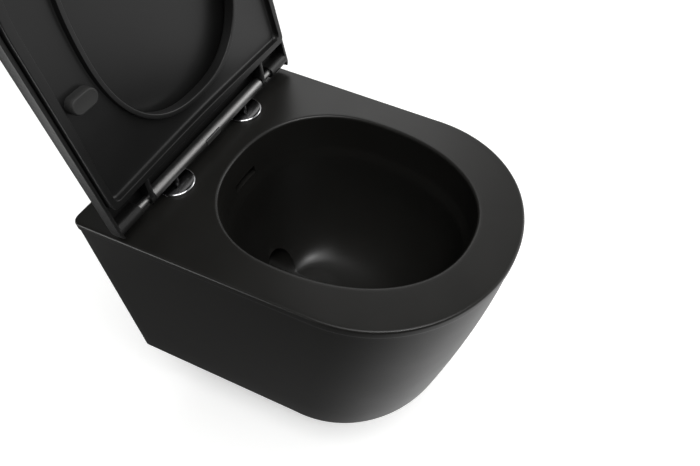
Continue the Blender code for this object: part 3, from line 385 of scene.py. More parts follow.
def egg(pairs, half, middle_y, rear, front, z, squareness):
    points = []
    for across, along in pairs:
        reach = rear if along > 0 else front
        x = half * power(across, 2 / squareness)
        points.append(Vector((x, middle_y + reach * power(along, 2 / squareness), z)))
    return points


def even_pairs(steps):
    return [(math.cos(math.tau * i / steps), math.sin(math.tau * i / steps)) for i in range(steps)]


# ---------------------------------------------------------------- pan
def pan_outline(below, inset, rear_y=0.0):
    share = min(max(below / PAN_HEIGHT, 0.0), 1.0)
    lean = FRONT_LEAN * share ** LEAN_POWER
    front_y = -(PAN_LENGTH - lean - inset)
    depth = FRONT_DEPTH - 0.2 * lean - inset * 0.5
    return d_outline(HALF_FRONT - inset, rear_y, front_y, depth, DECK_Z - below, PAN_CORNER, PAN_NARROWING)


def bowl_outline(pairs, below, share, grow):
    open_half = HALF_FRONT - RIM_SIDE
    middle = -(SUMP_Y + (BOWL_WIDEST - SUMP_Y) * share)
    rear = SUMP_REAR + (BOWL_WIDEST - REAR_DECK - SUMP_REAR) * share
    front = SUMP_FRONT + (PAN_LENGTH - RIM_FRONT - BOWL_WIDEST - SUMP_FRONT) * share
    half = SUMP_HALF_WIDTH + (open_half - SUMP_HALF_WIDTH) * share
    return egg(pairs, half + grow, middle, rear + grow, front + grow, DECK_Z - below, BOWL_POWER)


LEDGE_SHARE = LEDGE_TAPER - LEDGE_WIDTH / (HALF_FRONT - RIM_SIDE)


def funnel(share):
    """Depth below the deck and share of the opening, down the bowl under its ledge."""
    start = LEDGE_DEPTH + LEDGE_FALL
    return start + (BOWL_DEPTH - start) * share, LEDGE_SHARE * math.sqrt(1 - share ** BOWL_FULLNESS)


def skirt_line():
    """Depth below the deck and inset, from the foot up and over the rim bead."""
    corners = [(PAN_HEIGHT, FOOT_ROUND + 0.004, 0), (PAN_HEIGHT, 0.0015, FOOT_ROUND),
               (PAN_HEIGHT * 0.85, BEAD_STEP, 0)]
    line = rounded(corners, 8)
    line += [(PAN_HEIGHT * (0.85 - 0.05 * i), BEAD_STEP) for i in range(1, 16)]
    bead = [(RIM_BEAD + 0.008, BEAD_STEP, 0), (RIM_BEAD + 0.001, BEAD_STEP, 0.001),
            (RIM_BEAD - 0.001, 0.0, 0.0014), (0.0, 0.0, EDGE_ROUND), (0.0, EDGE_ROUND + 0.003, 0)]
    return line + rounded(bead, 7)


def bowl_line():
    """Depth, share of the opening and extra width, from the lip to the sump."""
    line = []
    for i in range(8):
        angle = math.pi / 2 * i / 7
        line.append((LIP_ROUND * (1 - math.cos(angle)), 1.0, LIP_ROUND * (1 - math.sin(angle))))
    line.append((LIP_ROUND + 0.002, 1.0, 0.0))
    start = LEDGE_DEPTH + LEDGE_FALL
    wall = [(0.012, 0.998, 0), (0.024, 0.994, 0), (0.034, 0.990, 0), (LEDGE_DEPTH, LEDGE_TAPER, 0.012),
            (start, LEDGE_SHARE, 0.012), (start + 0.018, LEDGE_SHARE - 0.006, 0)]
    line += [(depth, share, 0.0) for depth, share in rounded(wall, 7)]
    for i in range(4, 27):
        line.append((*funnel(math.sin(math.pi / 2 * i / 26.6)), 0.0))
    line.append((BOWL_DEPTH, 0.0, 0.0))
    return line


def trap_tube(name, radius, first_share):
    """The tube out of the sump, over the weir and down into the horn."""
    crest_z = OUTLET_Z + WEIR_RISE
    mouth_z = DECK_Z - BOWL_DEPTH + TRAP_BORE * 0.9
    horn_y = -(HORN_SETBACK + HORN_LENGTH)
    leg_y = horn_y - HORN_WALL * 1.2 - TRAP_BORE
    start_y = -(SUMP_Y - SUMP_REAR * first_share)
    route = [(start_y, mouth_z), ((start_y + leg_y) / 2, mouth_z), (leg_y - 0.006, mouth_z - 0.004),
             (leg_y, (mouth_z + crest_z) / 2), (leg_y, crest_z + 0.004), (horn_y - 0.004, crest_z),
             (horn_y + 0.012, crest_z - 0.005)]
    curve = bpy.data.curves.new(name, "CURVE")
    curve.dimensions = "3D"
    curve.bevel_depth = radius
    curve.bevel_resolution = 6
    curve.use_fill_caps = True
    line = curve.splines.new("NURBS")
    line.points.add(len(route) - 1)
    for point, (y, z) in zip(line.points, route):
        point.co = (0, y, z, 1)
    line.use_endpoint_u = True
    line.order_u = 4
    line.resolution_u = 5
    guide = bpy.data.objects.new(name, curve)
    bpy.context.scene.collection.objects.link(guide)
    take(guide)
    bpy.ops.object.convert(target="MESH")
    piece = bpy.context.object
    bpy.ops.object.mode_set(mode="EDIT")
    bpy.ops.mesh.select_all(action="SELECT")
    bpy.ops.mesh.remove_doubles(threshold=0.00001)
    bpy.ops.mesh.normals_make_consistent(inside=False)
    bpy.ops.object.mode_set(mode="OBJECT")
    return piece


def rod(name, radius, low, high, centre, direction, steps=TURN_STEPS):
    return turned(name, [(radius, low), (radius, high)], centre, direction, True, steps)


def pan_hollow():
    """The space behind the skirt, less what stands in it."""
    depths = [PAN_HEIGHT - FLOOR_WALL, PAN_HEIGHT * 0.75, PAN_HEIGHT * 0.5, PAN_HEIGHT * 0.25, DECK_WALL]
    hollow = loft("hollow", [pan_outline(below, SKIRT_WALL + BEAD_STEP, 0.02) for below in depths])
    pairs = even_pairs(96)
    levels = [(-0.002, 1.0), (LEDGE_DEPTH, LEDGE_TAPER), (LEDGE_DEPTH + LEDGE_FALL, LEDGE_SHARE)]
    levels += [funnel(math.sin(math.pi / 2 * i / 13.5)) for i in range(2, 14)]
    rings = [bowl_outline(pairs, below, share, BOWL_WALL) for below, share in levels]
    rings.append(bowl_outline(pairs, BOWL_DEPTH + BOWL_WALL, 0.0, BOWL_WALL * 0.4))
    bowl = loft("bowl_outside", rings)
    horn = rod("horn_outside", HORN_RADIUS, HORN_SETBACK, HORN_SETBACK + HORN_LENGTH + HORN_WALL,
               (0, 0, OUTLET_Z), "-Y")
    inlet = rod("inlet_outside", INLET_BORE + INLET_WALL, 0.0, REAR_DECK, (0, 0, INLET_Z), "-Y")
    web = block("web", (-HALF_PAN, -WEB_THICKNESS, -WEB_BELOW), (HALF_PAN, 0.0, WEB_ABOVE))
    carve(web, rod("waste_way", WASTE_WAY, -0.03, 0.05, (0, 0, OUTLET_Z), "-Y"))
    kept = [bowl, horn, inlet, web]
    for side in (-1, 1):
        low = (side * FIXING_X - LUG_HALF_WIDTH, -LUG_DEPTH, -LUG_HALF_HEIGHT)
        high = (side * FIXING_X + LUG_HALF_WIDTH, -WEB_THICKNESS / 2, LUG_HALF_HEIGHT)
        kept.append(block("wall_lug", low, high))
    carve(hollow, *kept)
    carve(hollow, trap_tube("trap_outside", TRAP_BORE + TRAP_WALL, 0.9), folded=True)
    return hollow


def make_pan():
    deck = pan_outline(0.0, EDGE_ROUND + 0.003)
    open_half = HALF_FRONT - RIM_SIDE
    pairs = egg_directions(deck, -BOWL_WIDEST, open_half, BOWL_WIDEST - REAR_DECK,
                           PAN_LENGTH - RIM_FRONT - BOWL_WIDEST, BOWL_POWER)
    rings = [pan_outline(below, inset) for below, inset in skirt_line()]
    lip = bowl_outline(pairs, 0.0, 1.0, LIP_ROUND + 0.003)
    for share in (0.25, 0.5, 0.75):
        rings.append([a.lerp(b, share) for a, b in zip(deck, lip)])
    rings.append(lip)
    rings += [bowl_outline(pairs, *level) for level in bowl_line()]
    pan = loft("pan_glazed", rings)
    carve(pan, pan_hollow())
    carve(pan, trap_tube("trap_bore", TRAP_BORE, 0.3), folded=True)
    carve(pan, rod("horn_bore", HORN_RADIUS - HORN_WALL, -0.02, HORN_SETBACK + HORN_LENGTH,
                   (0, 0, OUTLET_Z), "-Y"))
    carve(pan, rod("inlet_bore", INLET_BORE, -0.02, INLET_DEPTH, (0, 0, INLET_Z), "-Y"))
    carve(pan, block("jet", (-JET_WIDTH / 2, -REAR_DECK - 0.02, INLET_Z - JET_HEIGHT / 2),
                     (JET_WIDTH / 2, -INLET_DEPTH + 0.005, INLET_Z + JET_HEIGHT / 2)))
    for side in (-1, 1):
        carve(pan, rod("fixing_hole", FIXING_BORE, -0.02, LUG_DEPTH + 0.01, (side * FIXING_X, 0, 0), "-Y"))
        carve(pan, rod("seat_hole", BOLT_HOLE, -DECK_WALL - 0.01, 0.01,
                       (side * POST_X, BOLT_Y, DECK_Z), "Z"))
    smooth(pan, 38.0)
    return pan


# ---------------------------------------------------------------- seat
def seat_outline():
    return d_outline(SEAT_HALF, AXIS.y - SEAT_REAR, SEAT_FRONT_Y, FRONT_DEPTH, 0.0, SEAT_CORNER)


def hole_outline(outline):
    rear = HOLE_REAR_Y - HOLE_MIDDLE_Y
    front = HOLE_MIDDLE_Y - HOLE_FRONT_Y
    pairs = egg_directions(outline, HOLE_MIDDLE_Y, SEAT_HOLE_HALF, rear, front, HOLE_POWER)
    return egg(pairs, SEAT_HOLE_HALF, HOLE_MIDDLE_Y, rear, front, 0.0, HOLE_POWER)


def seat_section():
    """Side of the ring, inset from it and height: once round the moulding."""
    bottom, top = SEAT_BOTTOM, SEAT_TOP
    floor = bottom + SEAT_RECESS
    outer = rounded([(SEAT_BORDER + RECESS_FILLET, floor, 0), (SEAT_BORDER + 0.0008, floor, 0.007),
                     (SEAT_BORDER, bottom, 0.0012), (0.0, bottom, 0.0016), (0.0, top, SEAT_ROUND),
                     (SEAT_ROUND + 0.003, top, 0)], 7)
    inner = rounded([(SEAT_ROUND + 0.003, top, 0), (0.0, top, SEAT_ROUND), (0.0, bottom, 0.0016),
                     (SEAT_LIP, bottom, 0.0008), (SEAT_LIP, floor - 0.0002, 0.0012),
                     (SEAT_LIP + 0.0015, floor, 0)], 6)
    return [("outer", *spot) for spot in outer] + [("inner", *spot) for spot in inner]


def slab(name, outline, low_x, high_x, edge=0.0006):
    """A flat (y, z) outline about the hinge axis, thickened along X with eased edges."""
    middle = Vector((sum(y for y, z in outline), sum(z for y, z in outline))) / len(outline)
    rings = []
    for x, inset in ((low_x, edge), (low_x + edge, 0.0), (high_x - edge, 0.0), (high_x, edge)):
        ring = []
        for y, z in outline:
            inward = (middle - Vector((y, z))).normalized() * inset
            ring.append(AXIS + Vector((x, y + inward.x, z + inward.y)))
        rings.append(ring)
    return loft(name, rings)


def arc(radius, start, end, steps):
    angles = [math.radians(start + (end - start) * i / steps) for i in range(steps + 1)]
    return [(radius * math.cos(a), radius * math.sin(a)) for a in angles]


def make_seat():
    outer = seat_outline()
    inner = hole_outline(outer)
    rings = []
    for which, inset, z in seat_section():
        ring = []
        for edge, hole in zip(outer, inner):
            across = (hole - edge).normalized()
            spot = edge + across * inset if which == "outer" else hole - across * inset
            ring.append(Vector((spot.x, spot.y, z)))
        rings.append(ring)
    seat = loft("seat_moulded", rings + rings[:1], closed=False)
    bottom = SEAT_BOTTOM + 0.002 - AXIS.z
    top = SEAT_TOP - 0.0015 - AXIS.z
    reach = -(SEAT_REAR + SEAT_BORDER * 0.8)
    ear = [(reach, bottom)] + arc(EAR_RADIUS, -110, 100, 28) + [(reach, top)]
    for side in (-1, 1):
        low, high = sorted((side * LUG_X[0], side * LUG_X[1]))
        fuse(seat, slab("ear", ear, low, high))
        carve(seat, rod("ear_bore", SHAFT_BORE, low - 0.005, high + 0.005, AXIS, "X", 40))
    swung(seat)
    smooth(seat, 35.0)
    return seat


# ---------------------------------------------------------------- cover
def cover_outline(inset, z, rear_y, corner=COVER_CORNER):
    front_y = -(PAN_LENGTH + COVER_NOSE - inset)
    return d_outline(COVER_HALF - inset, rear_y, front_y, FRONT_DEPTH, z, corner)


def make_cover():
    rear = AXIS.y + COVER_REAR
    bottom = DECK_Z + COVER_CLEARANCE
    top = COVER_TOP - COVER_CROWN
    side = rounded([(COVER_WALL * 0.5, bottom, 0), (0.0, bottom, 0.0012), (0.0, top, COVER_ROUND),
                    (COVER_ROUND + 0.006, top, 0)], 10)
    rings = [cover_outline(inset, z, rear) for inset, z in side]
    for inset, rise in ((0.030, 0.35), (0.060, 0.68), (0.095, 0.9), (0.130, 1.0)):
        rings.append(cover_outline(inset, top + COVER_CROWN * rise, rear - inset * 0.15))
    cover = loft("cover_moulded", rings)
    inner_round = COVER_ROUND - COVER_WALL
    inside = rounded([(COVER_WALL, bottom - 0.02, 0), (COVER_WALL, COVER_INNER - COVER_CROWN, inner_round),
                      (COVER_WALL + inner_round + 0.004, COVER_INNER - COVER_CROWN, 0)], 8)
    rings = [cover_outline(inset, z, AXIS.y + 0.06) for inset, z in inside]
    carve(cover, loft("cover_inside", rings))
    roof = COVER_INNER + COVER_WALL / 2 - COVER_CROWN - AXIS.z
    knuckle = arc(EAR_RADIUS, 180, 360, 24) + [(EAR_RADIUS, roof), (-EAR_RADIUS, roof)]
    for side in (-1, 1):
        low, high = sorted((side * KNUCKLE_X[0], side * (COVER_HALF - COVER_WALL / 2)))
        fuse(cover, slab("knuckle", knuckle, low, high))
    far = RELIEF_RADIUS + 0.05
    relief = arc(RELIEF_RADIUS, -90, 0, 24) + [(far, 0), (far, -far), (0, -far)]
    carve(cover, slab("rear_relief", relief, -HALF_PAN * 2, HALF_PAN * 2))
    for side in (-1, 1):
        low, high = sorted((side * (KNUCKLE_X[0] - 0.01), side * KNUCKLE_X[1]))
        carve(cover, rod("knuckle_bore", SHAFT_BORE, low, high, AXIS, "X", 40))
    swung(cover)
    smooth(cover, 35.0)
    return cover


# ---------------------------------------------------------------- hinge
def make_rosette(side, word):
    x = side * POST_X
    height = ROSETTE_TOP - DECK_Z
    inside = ROSETTE_RADIUS - ROSETTE_SKIRT
    profile = rounded([(inside, GAP, 0), (ROSETTE_RADIUS, GAP, 0.0002),
                       (ROSETTE_RADIUS, height - 0.0010, 0.0003),
                       (ROSETTE_RADIUS - 0.0012, height, 0.0003), (ROSETTE_RADIUS - 0.004, height, 0),
                       (ROSETTE_RADIUS * 0.5, height, 0)], 3)
    rosette = turned(word + "_rosette_disc", profile, (x, BOLT_Y, DECK_Z), steps=96)
    hollow = rod("rosette_inside", inside, -0.001, height - ROSETTE_FACE, (x, BOLT_Y, DECK_Z), "Z", 96)
    carve(rosette, hollow)
    carve(rosette, rod("post_opening", POST_NECK, -0.001, 0.02, (x, AXIS.y, DECK_Z), "Z", 48))
    smooth(rosette, 30.0)
    return rosette


def make_bar():
    bore = BAR_RADIUS - BAR_WALL
    eased = BAR_RADIUS - BAR_CHAMFER
    ends = BAR_HALF - BAR_CHAMFER_LENGTH
    profile = [(bore, -BAR_HALF), (eased, -BAR_HALF), (BAR_RADIUS, -ends), (BAR_RADIUS, -0.02),
               (BAR_RADIUS, 0.02), (BAR_RADIUS, ends), (eased, BAR_HALF), (bore, BAR_HALF)]
    bar = tube("bar_satin", profile, AXIS, "X", 72)
    for side in (-1, 1):
        carve(bar, rod("post_socket", POST_SOCKET, -BAR_RADIUS - 0.004, 0.0,
                       (side * POST_X, AXIS.y, AXIS.z), "Z", 32))
    slot_z = (BUTTON_HIGH.z - BUTTON_LOW.z) / 2 + GAP
    carve(bar, block("button_slot", (BUTTON_LOW.x - GAP, AXIS.y - BAR_RADIUS - 0.005, AXIS.z - slot_z),
                     (BUTTON_HIGH.x + GAP, AXIS.y, AXIS.z + slot_z)))
    smooth(bar, 35.0)
    return bar


def make_button():
    """A pad with rounded corners and an eased face, and the wedge behind it."""
    half_x = BUTTON_HIGH.x
    half_z = (BUTTON_HIGH.z - BUTTON_LOW.z) / 2
    face = BUTTON_LOW.y
    rings = []
    for inset, y in ((0.0, AXIS.y - 0.0048), (0.0, face + 0.0006), (0.00018, face + 0.0002),
                     (0.0006, face), (0.0012, face)):
        ring = []
        for cx, cz, start in ((-1, -1, 180), (1, -1, 270), (1, 1, 0), (-1, 1, 90)):
            for k in range(9):
                angle = math.radians(start + 90 * k / 8)
                x = cx * (half_x - BUTTON_CORNER) + (BUTTON_CORNER - inset) * math.cos(angle)
                z = cz * (half_z - BUTTON_CORNER) + (BUTTON_CORNER - inset) * math.sin(angle)
                ring.append(Vector((x, y, AXIS.z + z)))
        rings.append(ring)
    button = loft("button_pad", rings)
    fuse(button, block("wedge", (-WEDGE_HALF_WIDTH, AXIS.y - 0.0053, AXIS.z - WEDGE_HALF_HEIGHT),
                       (WEDGE_HALF_WIDTH, BUTTON_HIGH.y, AXIS.z + WEDGE_HALF_HEIGHT)))
    smooth(button, 35.0)
    return button


# ---------------------------------------------------------------- buffers
def obround(half_length, half_width, steps=16):
    straight = half_length - half_width
    points = [(straight + x, y) for x, y in arc(half_width, -90, 90, steps)]
    return points + [(x - straight, y) for x, y in arc(half_width, 90, 270, steps)]


def buffer_spot(outer, inner):
    """Middle of the recess between two edges of the ring, and the length it takes."""
    across = (outer - inner).normalized()
    low = inner + across * (SEAT_LIP + RECESS_FLARE + BUFFER_MARGIN)
    high = outer - across * (SEAT_BORDER + RECESS_FLARE + BUFFER_MARGIN)
    return (low + high) / 2, min(BUFFER_LENGTH, (high - low).length)


def make_seat_buffer(name, place, turn):
    middle, length = place
    low = DECK_Z + GAP
    high = SEAT_BOTTOM + SEAT_RECESS - GAP
    profile = rounded([(0.0040, low + 0.0004, 0), (0.0009, low, 0.0016), (0.0, low + 0.0040, 0.0006),
                       (0.0, high - 0.0022, 0)], 6)
    profile += [(0.0, high)]
    spot = Matrix.Translation(middle) @ Matrix.Rotation(math.radians(turn), 4, "Z")
    rings = []
    for inset, z in reversed(profile):
        outline = obround(length / 2 - inset, BUFFER_WIDTH / 2 - inset)
        rings.append([spot @ Vector((x, y, z)) for x, y in outline])
    buffer = loft(name, rings)
    swung(buffer)
    smooth(buffer, 40.0)
    return buffer


def make_cover_buffer(name, x, y):
    low = SEAT_TOP + GAP
    high = COVER_INNER - COVER_CROWN - GAP
    radius = COVER_BUFFER_RADIUS
    profile = rounded([(radius * 0.35, low, 0), (radius * 0.85, low, 0.0012),
                       (radius, low + 0.0030, 0.0012), (radius, high, 0)], 6)
    buffer = turned(name, profile, (x, y, 0), steps=40)
    swung(buffer)
    smooth(buffer, 40.0)
    return buffer


def ray_edge(toward, outline):
    """Where a ray from the hole's middle leaves an outline."""
    middle = Vector((0, HOLE_MIDDLE_Y, 0))
    best = max(outline, key=lambda point: (point - middle).normalized().dot(toward))
    return Vector((best.x, best.y, 0))


def refined(node, name, width):
    """A CAD node's own shape, merged, with its edges eased."""
    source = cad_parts[node]
    piece = bpy.data.objects.new(name, source.data.copy())
    piece.data.name = name
    bpy.context.scene.collection.objects.link(piece)
    take(piece)
    bpy.ops.object.mode_set(mode="EDIT")
    bpy.ops.mesh.select_all(action="SELECT")
    bpy.ops.mesh.remove_doubles(threshold=0.00001)
    bpy.ops.mesh.dissolve_limited(angle_limit=math.radians(1.0))
    bpy.ops.object.mode_set(mode="OBJECT")
    step = piece.modifiers.new("ease", "BEVEL")
    step.width = width
    step.segments = 2
    step.limit_method = "ANGLE"
    step.angle_limit = math.radians(40)
    bpy.ops.object.modifier_apply(modifier=step.name)
    smooth(piece, 35.0)
    return piece


# ---------------------------------------------------------------- finishes
EDGE_START = 0.515            # pointiness where the wear starts
EDGE_FULL = 0.60              # and where it is full


def worn_colour(group, inputs, mottle):
    """Two colours mottled together, and the edge colour where an edge is worn."""
    nodes, links = group.nodes, group.links
    mix = nodes.new("ShaderNodeMix")
    mix.data_type = "RGBA"
    links.new(mottle.outputs["Fac"], mix.inputs["Factor"])
    links.new(inputs.outputs["Colour"], mix.inputs[6])
    links.new(inputs.outputs["Mottle Colour"], mix.inputs[7])
    geometry = nodes.new("ShaderNodeNewGeometry")
    edge = nodes.new("ShaderNodeMapRange")
    edge.inputs["From Min"].default_value = EDGE_START
    edge.inputs["From Max"].default_value = EDGE_FULL
    links.new(geometry.outputs["Pointiness"], edge.inputs["Value"])
    worn = nodes.new("ShaderNodeMath")
    worn.operation = "MULTIPLY"
    links.new(edge.outputs["Result"], worn.inputs[0])
    links.new(inputs.outputs["Edge Amount"], worn.inputs[1])
    tint = nodes.new("ShaderNodeMix")
    tint.data_type = "RGBA"
    links.new(worn.outputs[0], tint.inputs["Factor"])
    links.new(mix.outputs[2], tint.inputs[6])
    links.new(inputs.outputs["Edge Colour"], tint.inputs[7])
    return tint.outputs[2]


def uneven_roughness(group, inputs, mottle):
    nodes, links = group.nodes, group.links
    centred = nodes.new("ShaderNodeMath")
    centred.operation = "SUBTRACT"
    centred.inputs[1].default_value = 0.5
    links.new(mottle.outputs["Fac"], centred.inputs[0])
    rough = nodes.new("ShaderNodeMath")
    rough.operation = "MULTIPLY_ADD"
    links.new(centred.outputs[0], rough.inputs[0])
    links.new(inputs.outputs["Roughness Spread"], rough.inputs[1])
    links.new(inputs.outputs["Roughness"], rough.inputs[2])
    return rough.outputs[0]


def grain_normal(group, inputs, place):
    nodes, links = group.nodes, group.links
    stretch = nodes.new("ShaderNodeVectorMath")
    stretch.operation = "MULTIPLY"
    links.new(place.outputs["Object"], stretch.inputs[0])
    links.new(inputs.outputs["Grain Stretch"], stretch.inputs[1])
    grain = nodes.new("ShaderNodeTexNoise")
    grain.inputs["Detail"].default_value = 2.0
    links.new(stretch.outputs[0], grain.inputs["Vector"])
    links.new(inputs.outputs["Grain Scale"], grain.inputs["Scale"])
    bump = nodes.new("ShaderNodeBump")
    bump.inputs["Strength"].default_value = 1.0
    links.new(inputs.outputs["Grain Height"], bump.inputs["Distance"])
    links.new(grain.outputs["Fac"], bump.inputs["Height"])
    return bump.outputs["Normal"]


def surface_group():
    """Mottled colour and roughness, fine grain bump and a worn-edge mask."""
    group = bpy.data.node_groups.new("surface", "ShaderNodeTree")
    face = group.interface
    face.new_socket(name="Colour", in_out="INPUT", socket_type="NodeSocketColor")
    face.new_socket(name="Mottle Colour", in_out="INPUT", socket_type="NodeSocketColor")
    face.new_socket(name="Edge Colour", in_out="INPUT", socket_type="NodeSocketColor")
    for name in ("Edge Amount", "Mottle Scale", "Grain Scale", "Roughness", "Roughness Spread",
                 "Grain Height"):
        face.new_socket(name=name, in_out="INPUT", socket_type="NodeSocketFloat")
    face.new_socket(name="Grain Stretch", in_out="INPUT", socket_type="NodeSocketVector")
    face.new_socket(name="Colour", in_out="OUTPUT", socket_type="NodeSocketColor")
    face.new_socket(name="Roughness", in_out="OUTPUT", socket_type="NodeSocketFloat")
    face.new_socket(name="Normal", in_out="OUTPUT", socket_type="NodeSocketVector")
    nodes, links = group.nodes, group.links
    inputs = nodes.new("NodeGroupInput")
    outputs = nodes.new("NodeGroupOutput")
    place = nodes.new("ShaderNodeTexCoord")
    mottle = nodes.new("ShaderNodeTexNoise")
    mottle.inputs["Detail"].default_value = 5.0
    links.new(place.outputs["Object"], mottle.inputs["Vector"])
    links.new(inputs.outputs["Mottle Scale"], mottle.inputs["Scale"])
    links.new(worn_colour(group, inputs, mottle), outputs.inputs["Colour"])
    links.new(uneven_roughness(group, inputs, mottle), outputs.inputs["Roughness"])
    links.new(grain_normal(group, inputs, place), outputs.inputs["Normal"])
    return group


SURFACE = surface_group()

# colour, mottle colour, edge colour, edge amount, mottle scale, grain scale, roughness,
# its spread, grain height, grain stretch, specular level
FINISHES = {
    "matt_glaze": ((0.0075, 0.0073, 0.0066), (0.0100, 0.0097, 0.0088), (0.030, 0.029, 0.026), 0.30,
                   14.0, 420.0, 0.34, 0.10, 0.00005, (1, 1, 1), 0.30),
    "moulded_black": ((0.0065, 0.0065, 0.0065), (0.0085, 0.0085, 0.0083), (0.028, 0.028, 0.027), 0.30,
                      22.0, 1400.0, 0.36, 0.08, 0.00002, (1, 1, 1), 0.34),
    "satin_bar": ((0.200, 0.198, 0.195), (0.240, 0.238, 0.235), (0.36, 0.36, 0.36), 0.4,
                  60.0, 1500.0, 0.40, 0.10, 0.00002, (0.05, 1, 1), 0.5),
    "dark_post": ((0.018, 0.018, 0.018), (0.024, 0.024, 0.024), (0.05, 0.05, 0.05), 0.3,
                  60.0, 1500.0, 0.30, 0.08, 0.00002, (1, 1, 1), 0.5),
    "mirror_chrome": ((0.42, 0.42, 0.43), (0.46, 0.46, 0.47), (0.60, 0.60, 0.60), 0.5,
                      40.0, 900.0, 0.150, 0.04, 0.000003, (1, 1, 1), 0.5),
    "plated_bolt": ((0.46, 0.45, 0.41), (0.54, 0.53, 0.50), (0.70, 0.70, 0.68), 0.5,
                    90.0, 1200.0, 0.36, 0.15, 0.00003, (1, 1, 1), 0.5),
    "pipe_grey": ((0.19, 0.20, 0.21), (0.225, 0.235, 0.245), (0.32, 0.33, 0.34), 0.3,
                  30.0, 900.0, 0.46, 0.12, 0.00003, (1, 1, 1), 0.5),
    "soft_rubber": ((0.016, 0.016, 0.016), (0.024, 0.024, 0.023), (0.05, 0.05, 0.05), 0.3,
                    80.0, 1600.0, 0.60, 0.12, 0.00005, (1, 1, 1), 0.4),
}
METALS = ("satin_bar", "dark_post", "mirror_chrome", "plated_bolt")


def finish(name):
    colour, mottle, edge, edge_amount, mottle_scale, grain_scale = FINISHES[name][:6]
    rough, spread, height, stretch, specular = FINISHES[name][6:]
    material = bpy.data.materials.new(name)
    material.use_nodes = True
    nodes, links = material.node_tree.nodes, material.node_tree.links
    shader = nodes["Principled BSDF"]
    shader.inputs["Metallic"].default_value = 1.0 if name in METALS else 0.0
    shader.inputs["Specular IOR Level"].default_value = specular
    texture = nodes.new("ShaderNodeGroup")
    texture.node_tree = SURFACE
    values = {"Colour": (*colour, 1), "Mottle Colour": (*mottle, 1), "Edge Colour": (*edge, 1),
              "Edge Amount": edge_amount, "Mottle Scale": mottle_scale, "Grain Scale": grain_scale,
              "Roughness": rough, "Roughness Spread": spread, "Grain Height": height,
              "Grain Stretch": stretch}
    for socket, value in values.items():
        texture.inputs[socket].default_value = value
    links.new(texture.outputs["Colour"], shader.inputs["Base Color"])
    links.new(texture.outputs["Roughness"], shader.inputs["Roughness"])
    links.new(texture.outputs["Normal"], shader.inputs["Normal"])
    return material


MATERIALS = {name: finish(name) for name in FINISHES}


def dress(piece, material):
    piece.data.materials.clear()
    piece.data.materials.append(MATERIALS[material])


def fit(piece, material, body, *nodes):
    """Gives a new piece its finish and its body, and hides the CAD nodes that it stands for."""
    dress(piece, material)
    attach(piece, body)
    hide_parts(*nodes)


# ---------------------------------------------------------------- the object
fit(make_pan(), "matt_glaze", "pan", "pan_body")
fit(make_seat(), "moulded_black", "seat", "seat_ring")
fit(make_cover(), "moulded_black", "cover", "cover")
fit(make_bar(), "satin_bar", "hinge_unit", "hinge_bar")
fit(make_button(), "satin_bar", "release_button", "release_button")

SEAT_OUTER = seat_outline()
SEAT_INNER = hole_outline(SEAT_OUTER)
COVER_BUFFER_Y = SEAT_FRONT_Y + SEAT_HOLE_FRONT * 0.55
for side, word in ((-1, "left"), (1, "right")):
    fit(make_rosette(side, word), "mirror_chrome", "pan", word + "_rosette")
    side_y = AXIS.y - SIDE_BUFFER_FROM_AXIS
    spot = buffer_spot(Vector((side * SEAT_HALF, side_y, 0)), Vector((side * SEAT_HOLE_HALF, side_y, 0)))
    fit(make_seat_buffer(word + "_side_pad", spot, 0.0), "soft_rubber", "seat", word + "_side_buffer")
    slant = math.radians(FRONT_BUFFER_ANGLE)
    toward = Vector((side * math.cos(slant), -math.sin(slant), 0))
    spot = buffer_spot(ray_edge(toward, SEAT_OUTER), ray_edge(toward, SEAT_INNER))
    fit(make_seat_buffer(word + "_front_pad", spot, -side * FRONT_BUFFER_ANGLE), "soft_rubber", "seat",
        word + "_front_buffer")
    pad = make_cover_buffer(word + "_cover_pad", side * COVER_BUFFER_X, COVER_BUFFER_Y)
    fit(pad, "soft_rubber", "cover", word + "_cover_buffer")

# small hardware keeps its CAD shape, with eased edges
for side_word, shaft_body in (("left", "seat"), ("right", "cover")):
    fit(refined(side_word + "_hinge_shaft", side_word + "_shaft", 0.0002), "satin_bar", shaft_body,
        side_word + "_hinge_shaft")
    fit(refined(side_word + "_hinge_post", side_word + "_post", 0.0002), "dark_post", "pan",
        side_word + "_hinge_post")
    fit(refined(side_word + "_seat_bolt", side_word + "_bolt", 0.0002), "plated_bolt", "pan",
        side_word + "_seat_bolt")
    fit(refined(side_word + "_cone_washer", side_word + "_cone", 0.0004), "soft_rubber", "pan",
        side_word + "_cone_washer")
    fit(refined(side_word + "_wing_nut", side_word + "_wings", 0.0004), "pipe_grey", side_word + "_wing_nut",
        side_word + "_wing_nut")
    fit(refined(side_word + "_fixing_sleeve", side_word + "_sleeve", 0.0004), "pipe_grey", "pan",
        side_word + "_fixing_sleeve")
    fit(refined(side_word + "_fixing_washer", side_word + "_washer", 0.0002), "plated_bolt", "pan",
        side_word + "_fixing_washer")
    fit(refined(side_word + "_fixing_nut", side_word + "_nut", 0.0004), "plated_bolt", "pan",
        side_word + "_fixing_nut")
    fit(refined(side_word + "_fixing_stud", side_word + "_stud", 0.0002), "plated_bolt", "pan",
        side_word + "_fixing_stud")
fit(refined("flush_connector", "flush_pipe", 0.0006), "pipe_grey", "pan", "flush_connector")
fit(refined("inlet_seal", "inlet_gasket", 0.0003), "soft_rubber", "pan", "inlet_seal")
fit(refined("waste_connector", "waste_pipe", 0.0006), "pipe_grey", "pan", "waste_connector")
fit(refined("waste_seal", "waste_gasket", 0.0003), "soft_rubber", "pan", "waste_seal")

for node in ("left_latch_pin", "right_latch_pin", "button_spring"):
    dress(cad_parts[node], "plated_bolt")
for node in ("left_damper", "right_damper"):
    dress(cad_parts[node], "pipe_grey")

# ---------------------------------------------------------------- studio
FLOOR_DROP = 0.11             # a wall-hung pan's foot stands clear of the floor
FLOOR_SIZE = 14.0


